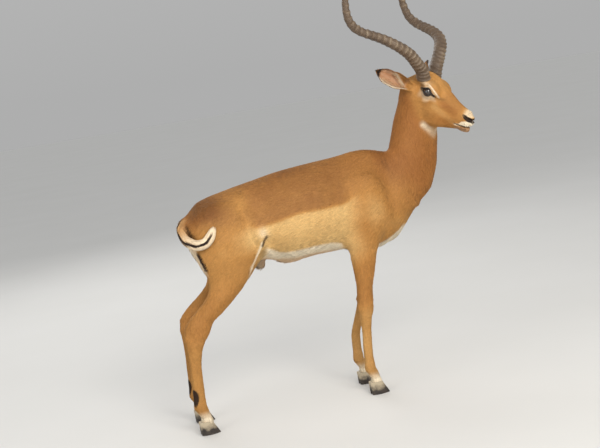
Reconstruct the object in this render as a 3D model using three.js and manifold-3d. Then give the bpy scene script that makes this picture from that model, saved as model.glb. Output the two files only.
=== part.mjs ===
// Impala ram, life size, standing square with its neck up and its head turned to the right.
// Millimetres. +Z is up, +X is the way the body faces and +Y is the animal's left.
// The body is drawn as smooth fields (sections lofted along the trunk, neck, head and legs, and
// blended where they grow into each other). Each sub-part is the surface of those fields inside
// its own region, parted from its neighbours by thin flat cuts. Horns, ears, eyes, tail and
// hooves are drawn directly and sit in pockets.

import * as THREE from 'three';
import { mergeVertices } from 'three/addons/utils/BufferGeometryUtils.js';
import Module from 'manifold-3d';

const wasm = await Module();
wasm.setup();

// ------------------------------------------------------------------ driving dimensions
const GAP = 0.3;               // clearance between pieces that meet
const STANCE = 80;             // half the distance between the left and right feet
const LEFT_AHEAD = { fore: 10, hind: 14 };   // how far the left feet stand ahead of the right ones
// The left legs lean further ahead between two heights: [from, to, by how much]
const LEFT_LEAN = { fore: [180, 330, 40], hind: [420, 500, 12] };
const CORONET_Z = 46;          // where the hooves begin
const CARPUS_Z = 300;          // knee cut of the forelegs
const HOCK_Z = 330;            // hock cut of the hind legs
const BODY_Z = 505;            // cut between the trunk and all four legs

const HEAD = { x: 666, y: -75, z: 1022, yaw: -55, pitch: 19, roll: 0 };   // point between the eyes
const EYE = { x: -4, y: 45, z: 10, radius: 19.5 };
const HORN_BASE_RADIUS = 23;
const HORN_RINGS = 15;

// Trunk sections, rump to chest: [x, top z, bottom z, half width, narrowing towards the back line]
const TRUNK = [
  [-312, 722, 690, 24, 0.0],
  [-284, 741, 648, 66, 0.0],
  [-223, 790, 562, 104, 0.05],
  [-114, 814, 552, 117, 0.08],
  [-30, 828, 545, 120, 0.16],
  [70, 843, 521, 134, 0.14],
  [170, 851, 527, 139, 0.16],
  [280, 857, 526, 120, 0.25],
  [380, 862, 512, 96, 0.35],
  [450, 850, 526, 80, 0.3],
  [510, 800, 578, 62, 0.1],
  [550, 740, 640, 40, 0.0],
];

// Neck sections, chest to poll: [z, centre x, centre y, half depth, half width, turn in degrees]
const NECK = [
  [640, 500, 0, 72, 54, 0],
  [700, 530, 0, 102, 62, 0],
  [760, 552, 0, 104, 62, 0],
  [820, 572, 0, 97, 60, 0],
  [880, 588, -2, 88, 58, -8],
  [940, 600, -4, 79, 57, -22],
  [1000, 611, -4, 66, 53, -40],
  [1050, 615, 3, 50, 44, -52],
  [1086, 616, 12, 34, 34, -55],
];

// Head sections in the head's own frame, nape to nose: [x, top z, bottom z, half width, egg]
const SKULL = [
  [-122, 22, -48, 26, 0.1],
  [-98, 44, -78, 41, 0.1],
  [-66, 66, -100, 49, 0.12],
  [-34, 72, -112, 51, 0.15],
  [0, 64, -117, 51, 0.2],
  [28, 43, -117, 47, 0.2],
  [60, 18, -113, 39, 0.1],
  [94, -5, -108, 31, 0.0],
  [124, -20, -104, 26, 0.0],
  [150, -30, -103, 23, 0.0],
];

// Leg sections, ground to body: [z, centre x, centre y beyond the foot, half depth, half width]
const FORELEG = [
  [30, 287, 0, 19, 18],
  [56, 284, 0, 18, 17],
  [80, 276, 0, 20.5, 18],
  [104, 269, 0, 20.5, 18],
  [135, 269, 0, 18.5, 15],
  [220, 275, 0, 18.5, 15],
  [272, 280, 0, 22, 20],
  [304, 285, 0, 26, 23],
  [338, 289, 0, 28, 23],
  [380, 293, 0, 29, 25],
  [440, 300, 1, 38, 30],
  [500, 306, 3, 48, 36],
  [560, 316, 2, 60, 38],
  [620, 332, -4, 68, 34],
];
const HINDLEG = [
  [30, -340, 0, 19, 18],
  [56, -342, 0, 19, 17],
  [84, -351, 0, 22, 18],
  [108, -356, 0, 23, 18],
  [145, -354, 0, 21.5, 16],
  [230, -350, 0, 21.5, 16],
  [290, -343, 0, 27, 19],
  [324, -335, 0, 36, 22],
  [352, -325, 1, 46, 22],
  [384, -310, 2, 50, 24],
  [416, -273, 2, 57, 28],
  [454, -228, 2, 58, 34],
  [486, -199, 1, 64, 38],
  [528, -177, 0, 80, 44],
  [586, -166, -4, 104, 48],
  [640, -158, -14, 114, 46],
];

// Muscles and other swellings: centre, radii, tilt about Y in degrees, blend width
const SHOULDER = { at: [338, 78, 668], size: [66, 30, 122], tilt: 16, blend: 34 };
const HAUNCH = { at: [-173, 66, 664], size: [112, 48, 112], tilt: 20, blend: 40 };
const SCROTUM = { at: [-50, 0, 550], size: [23, 22, 34] };
const SHEATH = { at: [66, 0, 526], size: [44, 13, 14] };
const BROW = { at: [2, 37, 16], size: [34, 18, 27], tilt: 26, blend: 12 };
const CHEEK = { at: [6, 26, -66], size: [52, 20, 42], tilt: 28, blend: 18 };
const MUZZLE = { at: [142, 0, -62], size: [31, 21, 25], tilt: 14, blend: 12 };
const CHIN = { at: [134, 0, -98], size: [24, 14, 12], tilt: 2, blend: 9 };

// Widths over which the neck, legs and head flow into the trunk
const NECK_BLEND = 46;
const LEG_BLEND = { fore: 30, hind: 56 };
const HEAD_BLEND = 26;

// Centre lines in the head's frame (right side of the animal is mirrored from the left)
const HORN_LINE = [
  [-36, 36, 46], [-42, 46, 76], [-54, 72, 106], [-68, 99, 134], [-88, 128, 155], [-116, 151, 170],
  [-152, 165, 180], [-190, 174, 185], [-228, 182, 190], [-259, 185, 201], [-282, 185, 219],
  [-300, 182, 246], [-315, 176, 284], [-324, 167, 330], [-326, 154, 380], [-320, 139, 430],
  [-308, 126, 476],
];
const EAR_LINE = [[-86, 40, 10], [-101, 66, 24], [-126, 116, 44], [-152, 168, 66]];

// Tail centre line: down over the rump, then curled forwards across the right buttock
const TAIL_LINE = [
  [-272, 0, 750], [-298, -14, 729], [-316, -42, 703], [-315, -76, 679], [-300, -104, 661],
  [-280, -122, 652], [-258, -132, 656], [-239, -136, 673], [-224, -138, 697],
];

// ------------------------------------------------------------------ small mathematics
const radians = THREE.MathUtils.degToRad;

// Smooth curve through rows of numbers, read by the first number of each row (no overshoot)
function through(rows) {
  const slopes = rows.map(() => []);
  const steps = rows.slice(1).map((row, i) => row.map((v, k) => (v - rows[i][k]) / (row[0] - rows[i][0])));
  rows.forEach((row, i) => {
    row.forEach((_, k) => {
      const before = steps[Math.max(i - 1, 0)][k];
      const after = steps[Math.min(i, steps.length - 1)][k];
      slopes[i][k] = before * after <= 0 ? 0 : (2 * before * after) / (before + after);
    });
  });
  return (t) => {
    const last = rows.length - 1;
    const at = Math.min(Math.max(t, rows[0][0]), rows[last][0]);
    let i = 0;
    while (i < last - 1 && rows[i + 1][0] < at) i += 1;
    const span = rows[i + 1][0] - rows[i][0];
    const s = (at - rows[i][0]) / span;
    return rows[i].map((v, k) => {
      const next = rows[i + 1][k];
      const rise = s * s * (3 - 2 * s);
      return v + (next - v) * rise
        + span * (s * (1 - s) * (1 - s) * slopes[i][k] - s * s * (1 - s) * slopes[i + 1][k]);
    });
  };
}

// Union of two fields that rounds the valley between them over the given width
function blend(a, b, width) {
  const h = Math.max(width - Math.abs(a - b), 0) / width;
  return Math.min(a, b) - (h * h * width) / 4;
}

// Signed distance, nearly, to an ellipse with half axes ru and rv
function ellipse(u, v, ru, rv) {
  const reach = Math.hypot(u / ru, v / rv);
  const slope = Math.hypot(u / (ru * ru), v / (rv * rv));
  return slope < 1e-9 ? -Math.min(ru, rv) : (reach * (reach - 1)) / slope;
}

// Field of sections stacked along one axis: outside its ends it is the distance to the end
function capped(flat, t, low, high) {
  const past = Math.max(low - t, t - high);
  return past > 0 ? Math.hypot(Math.max(flat, 0), past) : flat;
}

// Field of an ellipsoid tilted about Y; side mirrors it in Y
function lump({ at, size, tilt }, side = 1) {
  const c = Math.cos(radians(tilt));
  const s = Math.sin(radians(tilt));
  return (x, y, z) => {
    const dx = x - at[0];
    const dy = y - side * at[1];
    const dz = z - at[2];
    const u = c * dx - s * dz;
    const w = s * dx + c * dz;
    const reach = Math.hypot(u / size[0], dy / size[1], w / size[2]);
    const slope = Math.hypot(u / size[0] ** 2, dy / size[1] ** 2, w / size[2] ** 2);
    return slope < 1e-9 ? -Math.min(...size) : (reach * (reach - 1)) / slope;
  };
}

// ------------------------------------------------------------------ fields of the body
// Lengthwise body: egg-shaped upright sections stacked along X
function lengthwise(rows) {
  const section = through(rows);
  const low = rows[0][0];
  const high = rows[rows.length - 1][0];
  return (x, y, z) => {
    const [, top, bottom, half, egg] = section(x);
    const rise = (top - bottom) / 2;
    const up = Math.min(Math.max((z - (top + bottom) / 2) / rise, -1), 1);
    return capped(ellipse(y, z - (top + bottom) / 2, half * (1 - egg * up), rise), x, low, high);
  };
}

// Level section of a leg: its centre and half axes at a height
function legSection(pair, side) {
  const section = through(pair === 'fore' ? FORELEG : HINDLEG);
  return (z) => {
    const [, cx, beyond, depth, width] = section(z);
    const [low, high, lean] = LEFT_LEAN[pair];
    const ahead = side > 0 ? LEFT_AHEAD[pair] + lean * THREE.MathUtils.smoothstep(z, low, high) : 0;
    return { cx: cx + ahead, cy: side * (STANCE + beyond), depth, width };
  };
}

function legField(pair, side) {
  const section = legSection(pair, side);
  const rows = pair === 'fore' ? FORELEG : HINDLEG;
  return (x, y, z) => {
    const { cx, cy, depth, width } = section(z);
    return capped(ellipse(x - cx, y - cy, depth, width), z, rows[0][0], rows[rows.length - 1][0]);
  };
}

const neckSection = through(NECK);
function neckField(x, y, z) {
  const [, cx, cy, depth, width, turn] = neckSection(z);
  const c = Math.cos(radians(turn));
  const s = Math.sin(radians(turn));
  const along = c * (x - cx) + s * (y - cy);
  const across = -s * (x - cx) + c * (y - cy);
  return capped(ellipse(along, across, depth, width), z, NECK[0][0], NECK[NECK.length - 1][0]);
}

// The head's frame: nose down by the pitch, then turned by the yaw
const headMatrix = new THREE.Matrix4()
  .makeTranslation(HEAD.x, HEAD.y, HEAD.z)
  .multiply(new THREE.Matrix4().makeRotationZ(radians(HEAD.yaw)))
  .multiply(new THREE.Matrix4().makeRotationY(radians(HEAD.pitch)))
  .multiply(new THREE.Matrix4().makeRotationX(radians(HEAD.roll)));
const headInverse = headMatrix.clone().invert();

function toHead(x, y, z) {
  const p = new THREE.Vector3(x, y, z).applyMatrix4(headInverse);
  return [p.x, p.y, p.z];
}

function fromHead([x, y, z], side = 1) {
  return new THREE.Vector3(x, side * y, z).applyMatrix4(headMatrix);
}

const skull = lengthwise(SKULL);
const headLumps = [
  [lump(BROW, 1), BROW.blend], [lump(BROW, -1), BROW.blend],
  [lump(CHEEK, 1), CHEEK.blend], [lump(CHEEK, -1), CHEEK.blend],
  [lump(MUZZLE), MUZZLE.blend], [lump(CHIN), CHIN.blend],
];
function headField(x, y, z) {
  const [hx, hy, hz] = toHead(x, y, z);
  return headLumps.reduce((sum, [part, width]) => blend(sum, part(hx, hy, hz), width), skull(hx, hy, hz));
}

const SIDES = { left: 1, right: -1 };
const legFields = ['fore', 'hind'].flatMap((pair) => Object.values(SIDES)
  .map((side) => ({ field: legField(pair, side), width: LEG_BLEND[pair] })));

const trunkLoft = lengthwise(TRUNK);
const trunkLumps = [
  [lump(SHOULDER, 1), SHOULDER.blend], [lump(SHOULDER, -1), SHOULDER.blend],
  [lump(HAUNCH, 1), HAUNCH.blend], [lump(HAUNCH, -1), HAUNCH.blend],
];

function torsoField(x, y, z) {
  const loft = blend(trunkLoft(x, y, z), neckField(x, y, z), NECK_BLEND);
  return trunkLumps.reduce((sum, [part, width]) => blend(sum, part(x, y, z), width), loft);
}

function bodyField(x, y, z) {
  return legFields.reduce((sum, leg) => blend(sum, leg.field(x, y, z), leg.width), torsoField(x, y, z));
}

function bodyWithLeg(pair, side) {
  const leg = legField(pair, side);
  return (x, y, z) => blend(torsoField(x, y, z), leg(x, y, z), LEG_BLEND[pair]);
}

function neckAndHeadField(x, y, z) {
  return blend(torsoField(x, y, z), headField(x, y, z), HEAD_BLEND);
}

// ------------------------------------------------------------------ from fields to surfaces
// Closed surface of a field inside a box: one vertex in each cell that the surface crosses, set
// where the cell's edges cross it, and one quad across each crossed grid edge
function surface(field, low, high, step) {
  const count = [0, 1, 2].map((k) => Math.ceil((high[k] - low[k]) / step[k]) + 1);
  const place = (i, j, k) => [low[0] + i * step[0], low[1] + j * step[1], low[2] + k * step[2]];
  const index = (i, j, k) => (k * count[1] + j) * count[0] + i;
  const isRim = (n, k) => n[k] === 0 || n[k] === count[k] - 1;
  const values = new Float64Array(count[0] * count[1] * count[2]);
  for (let k = 0; k < count[2]; k += 1) {
    for (let j = 0; j < count[1]; j += 1) {
      for (let i = 0; i < count[0]; i += 1) {
        const rim = [0, 1, 2].some((axis) => isRim([i, j, k], axis));
        values[index(i, j, k)] = rim ? step[0] : field(...place(i, j, k));
      }
    }
  }

  const corners = [0, 1, 2, 3, 4, 5, 6, 7].map((n) => [n & 1, (n >> 1) & 1, (n >> 2) & 1]);
  const edges = [];
  corners.forEach((a, m) => corners.forEach((b, n) => {
    if (m < n && a.filter((v, k) => v !== b[k]).length === 1) edges.push([m, n]);
  }));

  const positions = [];
  const vertexOf = new Map();
  for (let k = 0; k < count[2] - 1; k += 1) {
    for (let j = 0; j < count[1] - 1; j += 1) {
      for (let i = 0; i < count[0] - 1; i += 1) {
        const value = corners.map((c) => values[index(i + c[0], j + c[1], k + c[2])]);
        const crossings = edges.filter(([m, n]) => (value[m] < 0) !== (value[n] < 0)).map(([m, n]) => {
          const s = value[m] / (value[m] - value[n]);
          return corners[m].map((v, axis) => v + s * (corners[n][axis] - v));
        });
        if (crossings.length > 0) {
          const mean = [0, 1, 2].map((a) => crossings.reduce((t, c) => t + c[a], 0) / crossings.length);
          const point = place(i + mean[0], j + mean[1], k + mean[2]);
          vertexOf.set(index(i, j, k), positions.length);
          positions.push(settle(field, point, step));
        }
      }
    }
  }

  const triangles = [];
  const quad = (a, b, c, d) => {
    const [pa, pb, pc, pd] = [a, b, c, d].map((n) => positions[n]);
    const short = Math.hypot(...pa.map((v, n) => v - pc[n])) < Math.hypot(...pb.map((v, n) => v - pd[n]));
    triangles.push(...(short ? [a, b, c, a, c, d] : [a, b, d, b, c, d]));
  };
  for (let k = 0; k < count[2] - 1; k += 1) {
    for (let j = 0; j < count[1] - 1; j += 1) {
      for (let i = 0; i < count[0] - 1; i += 1) {
        const here = values[index(i, j, k)] < 0;
        [[1, 0, 0], [0, 1, 0], [0, 0, 1]].forEach((d, axis) => {
          const there = values[index(i + d[0], j + d[1], k + d[2])] < 0;
          if (here === there) return;
          const u = [0, 0, 0];
          const v = [0, 0, 0];
          u[(axis + 1) % 3] = 1;
          v[(axis + 2) % 3] = 1;
          const cell = (a, b) => vertexOf.get(index(
            i - a * u[0] - b * v[0], j - a * u[1] - b * v[1], k - a * u[2] - b * v[2]));
          const ring = [cell(0, 0), cell(1, 0), cell(1, 1), cell(0, 1)];
          quad(...(here ? ring : ring.reverse()));
        });
      }
    }
  }
  return { positions, triangles };
}

// Moves a point along the field's slope onto the surface, by less than half a cell
function settle(field, point, step) {
  const reach = Math.min(...step) / 2;
  const nudge = 0.5;
  const value = field(...point);
  if (Math.abs(value) > reach) return point;
  const slope = [0, 1, 2].map((axis) => {
    const beside = point.map((v, n) => v + (n === axis ? nudge : 0));
    return (field(...beside) - value) / nudge;
  });
  const square = slope.reduce((sum, v) => sum + v * v, 0);
  return square < 0.05 ? point : point.map((v, n) => v - (value * slope[n]) / square);
}

// ------------------------------------------------------------------ solids
function solidOf({ positions, triangles }) {
  return new wasm.Manifold(new wasm.Mesh({
    numProp: 3,
    vertProperties: new Float32Array(positions.flat()),
    triVerts: new Uint32Array(triangles),
  }));
}

// Geometry of a solid, with the slivers that cuts leave closed up: corners nearer to each other
// than the tolerance become one, and two faces left back to back go
const SLIVER = 0.02;
function geometryOf(solid) {
  const { vertProperties, triVerts } = solid.getMesh();
  const geometry = new THREE.BufferGeometry();
  geometry.setAttribute('position', new THREE.BufferAttribute(vertProperties.slice(), 3));
  const kept = [];
  const standsFor = [];
  const point = new THREE.Vector3();
  for (let n = 0; n < geometry.attributes.position.count; n += 1) {
    point.fromBufferAttribute(geometry.attributes.position, n);
    const twin = kept.find(({ at }) => at.distanceToSquared(point) < SLIVER ** 2);
    if (!twin) kept.push({ at: point.clone(), n });
    standsFor.push(twin ? twin.n : n);
  }
  const faces = new Map();
  for (let n = 0; n < triVerts.length; n += 3) {
    const face = [0, 1, 2].map((k) => standsFor[triVerts[n + k]]);
    const key = [...face].sort((a, b) => a - b).join();
    const isFlat = new Set(face).size < 3;
    if (faces.has(key)) faces.delete(key);
    else if (!isFlat) faces.set(key, face);
  }
  geometry.setIndex([...faces.values()].flat());
  const drawn = geometry.toNonIndexed();
  drawn.computeVertexNormals();
  return drawn;
}

function solidFromGeometry(geometry) {
  geometry.deleteAttribute('normal');
  geometry.deleteAttribute('uv');
  const merged = mergeVertices(geometry, 1e-4);
  return new wasm.Manifold(new wasm.Mesh({
    numProp: 3,
    vertProperties: new Float32Array(merged.attributes.position.array),
    triVerts: new Uint32Array(merged.index.array),
  }));
}

// A very large block whose one face passes through a point; the block lies on the normal's side
const BLOCK = 4000;
function beyond(point, normal) {
  const n = new THREE.Vector3(...normal).normalize();
  const block = new THREE.BoxGeometry(BLOCK, BLOCK, BLOCK);
  block.translate(0, 0, BLOCK / 2 + GAP / 2);
  block.applyQuaternion(new THREE.Quaternion().setFromUnitVectors(new THREE.Vector3(0, 0, 1), n));
  block.translate(...point);
  return solidFromGeometry(block);
}

function within(solid, ...cuts) {
  return cuts.reduce((left, [point, normal]) => left.intersect(beyond(point, normal)), solid);
}

const flip = ([point, normal]) => [point, normal.map((v) => -v)];

// Tube along a curve with an oval section: size gives its half axes, facing the way that the
// second of them points
function tube(curve, steps, sides, size, facing) {
  const positions = [];
  for (let i = 0; i <= steps; i += 1) {
    const u = i / steps;
    const centre = curve.getPointAt(u);
    const along = curve.getTangentAt(u);
    const across = new THREE.Vector3().crossVectors(along, facing(u)).normalize();
    const outward = new THREE.Vector3().crossVectors(across, along).normalize();
    const [wide, thick] = size(u);
    for (let j = 0; j < sides; j += 1) {
      const angle = (2 * Math.PI * j) / sides;
      const point = centre.clone()
        .addScaledVector(across, wide * Math.cos(angle))
        .addScaledVector(outward, thick * Math.sin(angle));
      positions.push(point.toArray());
    }
  }
  return stack(positions, steps + 1, sides);
}

// Closed skin over a stack of rings, each of as many points, with a fan over each end
function stack(positions, rings, sides) {
  const centre = (ring) => [0, 1, 2].map((axis) => {
    const points = positions.slice(ring * sides, (ring + 1) * sides);
    return points.reduce((sum, p) => sum + p[axis], 0) / sides;
  });
  const ends = positions.length;
  const all = [...positions, centre(0), centre(rings - 1)];
  const triangles = [];
  for (let j = 0; j < sides; j += 1) {
    const next = (j + 1) % sides;
    for (let a = 0; a < (rings - 1) * sides; a += sides) {
      const b = a + sides;
      triangles.push(a + j, b + j, b + next, a + j, b + next, a + next);
    }
    const last = (rings - 1) * sides;
    triangles.push(ends, j, next, ends + 1, last + next, last + j);
  }
  return { positions: all, triangles: outwardFacing(all, triangles) };
}

// Turns every face over if the closed surface came out inside out
function outwardFacing(positions, triangles) {
  let volume = 0;
  for (let n = 0; n < triangles.length; n += 3) {
    const [a, b, c] = triangles.slice(n, n + 3).map((v) => new THREE.Vector3(...positions[v]));
    volume += a.dot(b.cross(c));
  }
  if (volume > 0) return triangles;
  const turned = [];
  for (let n = 0; n < triangles.length; n += 3) {
    turned.push(triangles[n], triangles[n + 2], triangles[n + 1]);
  }
  return turned;
}

const curveThrough = (points) => new THREE.CatmullRomCurve3(points, false, 'centripetal');

// Horn: oval at the base and round at the tip, with ridges that fade out before the smooth tip
function horn(side, grow = 0) {
  const curve = curveThrough(HORN_LINE.map((p) => fromHead(p, side)));
  const steps = 2 * HORN_RINGS + 6;
  const size = (u) => {
    const taper = HORN_BASE_RADIUS * (1 - 0.78 * u ** 1.25);
    const ringed = THREE.MathUtils.clamp((0.86 - u) / 0.2, 0, 1);
    const isCrest = Math.round(u * steps) % 2 === 1;
    const ridge = (isCrest ? 1.0 : -1.0) * ringed * (1.5 - u);
    const radius = (taper + ridge) * THREE.MathUtils.clamp((1 - u) / 0.03, 0.35, 1) + grow;
    return [radius * 0.92, radius * (1.12 - 0.12 * u)];
  };
  const front = fromHead([1, 0, 0]).sub(fromHead([0, 0, 0]));
  return solidOf(tube(curve, steps, 7, size, () => front));
}

// Ear: a cupped leaf of even thickness, rolled round its base, opening forwards and outwards
const EAR = { halfWidth: 31, thickness: 3.4, across: 6, along: 7 };
const earHalfWidth = (u) => EAR.halfWidth * through(
  [[0, 0.5], [0.2, 0.66], [0.48, 1], [0.7, 0.9], [0.9, 0.42], [1, 0.08]])(u)[1];
function ear(side, grow = 0) {
  const curve = curveThrough(EAR_LINE.map((p) => fromHead(p, side)));
  const opening = fromHead([0.8, 0.55, 0.12], side).sub(fromHead([0, 0, 0])).normalize();
  const layer = (offset) => {
    const rows = [];
    for (let i = 0; i <= EAR.along; i += 1) {
      const u = i / EAR.along;
      const centre = curve.getPointAt(u);
      const along = curve.getTangentAt(u);
      const across = new THREE.Vector3().crossVectors(along, opening).normalize();
      const face = new THREE.Vector3().crossVectors(across, along).normalize();
      const half = earHalfWidth(u);
      const roll = radians(THREE.MathUtils.lerp(125, 42, Math.min(u / 0.75, 1)));
      const radius = half / Math.sin(Math.min(roll, Math.PI / 2));
      rows.push(Array.from({ length: EAR.across + 1 }, (_, j) => {
        const angle = roll * ((2 * j) / EAR.across - 1);
        const reach = radius + offset;
        return centre.clone()
          .addScaledVector(across, reach * Math.sin(angle))
          .addScaledVector(face, radius * 0.75 - reach * Math.cos(angle))
          .toArray();
      }));
    }
    return rows;
  };
  const outer = layer(EAR.thickness / 2 + grow);
  const inner = layer(-EAR.thickness / 2 - grow);
  const width = EAR.across + 1;
  const height = EAR.along + 1;
  const positions = [...outer.flat(), ...inner.flat()];
  const at = (layerIndex, i, j) => (layerIndex * height + i) * width + j;
  const triangles = [];
  const quad = (a, b, c, d) => triangles.push(a, b, c, a, c, d);
  for (let i = 0; i < EAR.along; i += 1) {
    for (let j = 0; j < EAR.across; j += 1) {
      quad(at(0, i, j), at(0, i, j + 1), at(0, i + 1, j + 1), at(0, i + 1, j));
      quad(at(1, i, j), at(1, i + 1, j), at(1, i + 1, j + 1), at(1, i, j + 1));
    }
    quad(at(0, i, 0), at(0, i + 1, 0), at(1, i + 1, 0), at(1, i, 0));
    quad(at(0, i, EAR.across), at(1, i, EAR.across), at(1, i + 1, EAR.across), at(0, i + 1, EAR.across));
  }
  for (let j = 0; j < EAR.across; j += 1) {
    quad(at(0, 0, j), at(1, 0, j), at(1, 0, j + 1), at(0, 0, j + 1));
    quad(at(0, EAR.along, j), at(0, EAR.along, j + 1), at(1, EAR.along, j + 1), at(1, EAR.along, j));
  }
  return solidOf({ positions, triangles: outwardFacing(positions, triangles) });
}

// Lower leg: level oval rings from the hoof to the knee, close together where the leg swells
function lowerLeg(pair, side, top) {
  const sides = 10;
  const rows = (pair === 'fore' ? FORELEG : HINDLEG).map((row) => row[0]);
  const knots = [CORONET_Z + GAP / 2, ...rows.filter((z) => z > CORONET_Z + 4 && z < top - 8), top - GAP / 2];
  const levels = knots.flatMap((z, n) => {
    const gap = n > 0 ? z - knots[n - 1] : 0;
    return gap > 34 ? [z - gap / 2, z] : [z];
  });
  const section = legSection(pair, side);
  const positions = [];
  for (const z of levels) {
    const { cx, cy, depth, width } = section(z);
    for (let n = 0; n < sides; n += 1) {
      const angle = (2 * Math.PI * (n + 0.5)) / sides;
      positions.push([cx + depth * Math.cos(angle), cy + width * Math.sin(angle), z]);
    }
  }
  return solidOf(stack(positions, levels.length, sides));
}

function ellipsoid({ at, size }) {
  const ball = new THREE.SphereGeometry(1, 12, 8);
  ball.scale(...size);
  ball.translate(...at);
  return solidFromGeometry(ball);
}

function eye(side, grow = 0) {
  const ball = new THREE.SphereGeometry(EYE.radius + grow, 12, 8);
  ball.translate(...fromHead([EYE.x, EYE.y, EYE.z], side).toArray());
  return solidFromGeometry(ball);
}

// Tail with its fringe: flat against the buttock, widest two thirds down, pointed at the end
function tail(grow = 0) {
  const curve = curveThrough(TAIL_LINE.map((p) => new THREE.Vector3(...p)));
  const size = (u) => {
    const width = through([[0, 17], [0.3, 19], [0.62, 24], [0.85, 20], [1, 6]])(u)[1];
    const thick = through([[0, 13], [0.3, 11], [0.85, 9], [1, 4]])(u)[1];
    return [width + grow, thick + grow];
  };
  const facing = (u) => new THREE.Vector3(-1, 0, 0.3).lerp(new THREE.Vector3(0, -1, 0), Math.min(u / 0.6, 1));
  return solidOf(tube(curve, 14, 8, size, facing));
}

// Mouth: a thin wedge between the lips, open at the front
function mouthSlit() {
  const outline = new THREE.Shape();
  outline.moveTo(104, -83);
  outline.lineTo(140, -87);
  outline.lineTo(185, -89);
  outline.lineTo(185, -96);
  outline.lineTo(140, -91);
  const wedge = new THREE.ExtrudeGeometry(outline, { depth: 90, bevelEnabled: false });
  wedge.rotateX(Math.PI / 2);
  wedge.translate(0, 45, 0);
  wedge.applyMatrix4(headMatrix);
  return solidFromGeometry(wedge);
}

// Hoof: two toes that lean back from flat soles and join only at the heels
const HOOF = { length: 33, width: 11, apart: 10.5, lean: 13, top: 0.66, points: 10 };
function toe(centreX, centreY, side) {
  const positions = [];
  const levels = [0, 0.22, 1];
  for (const level of levels) {
    const shrink = 1 - (1 - HOOF.top) * level ** 1.2 + (level > 0 ? 0 : -0.03);
    for (let n = 0; n < HOOF.points; n += 1) {
      const angle = (2 * Math.PI * n) / HOOF.points;
      const forward = Math.cos(angle);
      const outside = Math.sin(angle);
      const point = 1 - 0.5 * Math.max(forward, 0) ** 2;
      const heel = outside < 0 ? 1 + 0.25 * Math.max(-forward, 0) : 1;
      const x = centreX + HOOF.length * shrink * forward - HOOF.lean * level;
      const spread = HOOF.width * outside * point * heel * (1 + 0.1 * level);
      const y = centreY + side * (HOOF.apart * (1 - 0.2 * level) + spread);
      positions.push([x, y, level * (CORONET_Z - GAP)]);
    }
  }
  return solidOf(stack(positions, levels.length, HOOF.points));
}

function hoof(centreX, centreY) {
  return toe(centreX, centreY, 1).add(toe(centreX, centreY, -1));
}

// ------------------------------------------------------------------ cuts between the sub-parts
const NECK_CUT = [[497, 0, 764], [0.9, 0, 0.44]];
const POLL_CUT = (() => {
  const point = fromHead([-62, 0, -40]);
  const normal = fromHead([0.83, 0, 0.56]).sub(fromHead([0, 0, 0]));
  return [point.toArray(), normal.toArray()];
})();
const BODY_CUT = [[0, 0, BODY_Z], [0, 0, 1]];
const CARPUS_CUT = [[0, 0, CARPUS_Z], [0, 0, 1]];
const HOCK_CUT = [[0, 0, HOCK_Z], [0, 0, 1]];

// ------------------------------------------------------------------ the sub-parts
const pieces = new Map();

const trunkSurface = surface(bodyField, [-370, -180, 450], [640, 180, 900], [46, 35, 34]);
const trunk = within(solidOf(trunkSurface), flip(NECK_CUT), BODY_CUT);
pieces.set('trunk', trunk.add(ellipsoid(SCROTUM)).add(ellipsoid(SHEATH)).subtract(tail(GAP)));
pieces.set('tail', tail());

const neckSurface = surface(neckAndHeadField, [400, -170, 560], [760, 130, 1130], [30, 26, 30]);
let neck = within(solidOf(neckSurface), NECK_CUT, flip(POLL_CUT));

const headSurface = surface(neckAndHeadField, [560, -290, 850], [860, 110, 1150], [14.5, 14.5, 14.5]);
let head = within(solidOf(headSurface), POLL_CUT).subtract(mouthSlit());
for (const [name, side] of Object.entries(SIDES)) {
  pieces.set(`horn_${name}`, horn(side));
  pieces.set(`ear_${name}`, ear(side));
  pieces.set(`eye_${name}`, eye(side));
  neck = neck.subtract(ear(side, GAP));
  head = head.subtract(horn(side, GAP)).subtract(ear(side, GAP)).subtract(eye(side, GAP));
}
pieces.set('neck', neck);
pieces.set('head', head);

const UPPER_LEG_STEP = [22, 19, 30];
const KNEE_Z = { fore: CARPUS_Z, hind: HOCK_Z };
const UPPER_LEG_X = { fore: [180, 450], hind: [-420, -30] };
const FOOT_X = { fore: 292, hind: -336 };
for (const [name, side] of Object.entries(SIDES)) {
  for (const pair of ['fore', 'hind']) {
    const kneeCut = pair === 'fore' ? CARPUS_CUT : HOCK_CUT;
    const [back, front] = UPPER_LEG_X[pair];
    const inner = Math.min(side * 10, side * 160);
    const outer = Math.max(side * 10, side * 160);
    const upper = surface(bodyWithLeg(pair, side), [back, inner, KNEE_Z[pair] - 60],
      [front, outer, BODY_Z + 60], UPPER_LEG_STEP);
    const ahead = side > 0 ? LEFT_AHEAD[pair] : 0;
    pieces.set(`${pair}leg_${name}_upper`, within(solidOf(upper), flip(BODY_CUT), kneeCut));
    pieces.set(`${pair}leg_${name}_lower`, lowerLeg(pair, side, KNEE_Z[pair]));
    pieces.set(`hoof_${pair}_${name}`, hoof(FOOT_X[pair] + ahead, side * STANCE));
  }
}

// ------------------------------------------------------------------ the model
const COAT = { color: '#b9793f', roughness: 0.85, metalness: 0 };
const LOOKS = {
  horn: { color: '#4b3b33', roughness: 0.6, metalness: 0 },
  eye: { color: '#120c09', roughness: 0.08, metalness: 0 },
  hoof: { color: '#1d1a19', roughness: 0.5, metalness: 0 },
  tail: { color: '#efe7db', roughness: 0.9, metalness: 0 },
  ear: { color: '#a9713f', roughness: 0.85, metalness: 0 },
};

const impala = new THREE.Group();
for (const [name, solid] of pieces) {
  const kind = name.split('_')[0];
  const mesh = new THREE.Mesh(geometryOf(solid), new THREE.MeshStandardMaterial(LOOKS[kind] ?? COAT));
  mesh.name = name;
  impala.add(mesh);
}

// The origin is on the ground under the middle of the whole animal's box
const whole = new THREE.Box3().setFromObject(impala);
const middle = whole.getCenter(new THREE.Vector3());
impala.position.set(-middle.x, -middle.y, 0);

export default impala;
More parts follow.
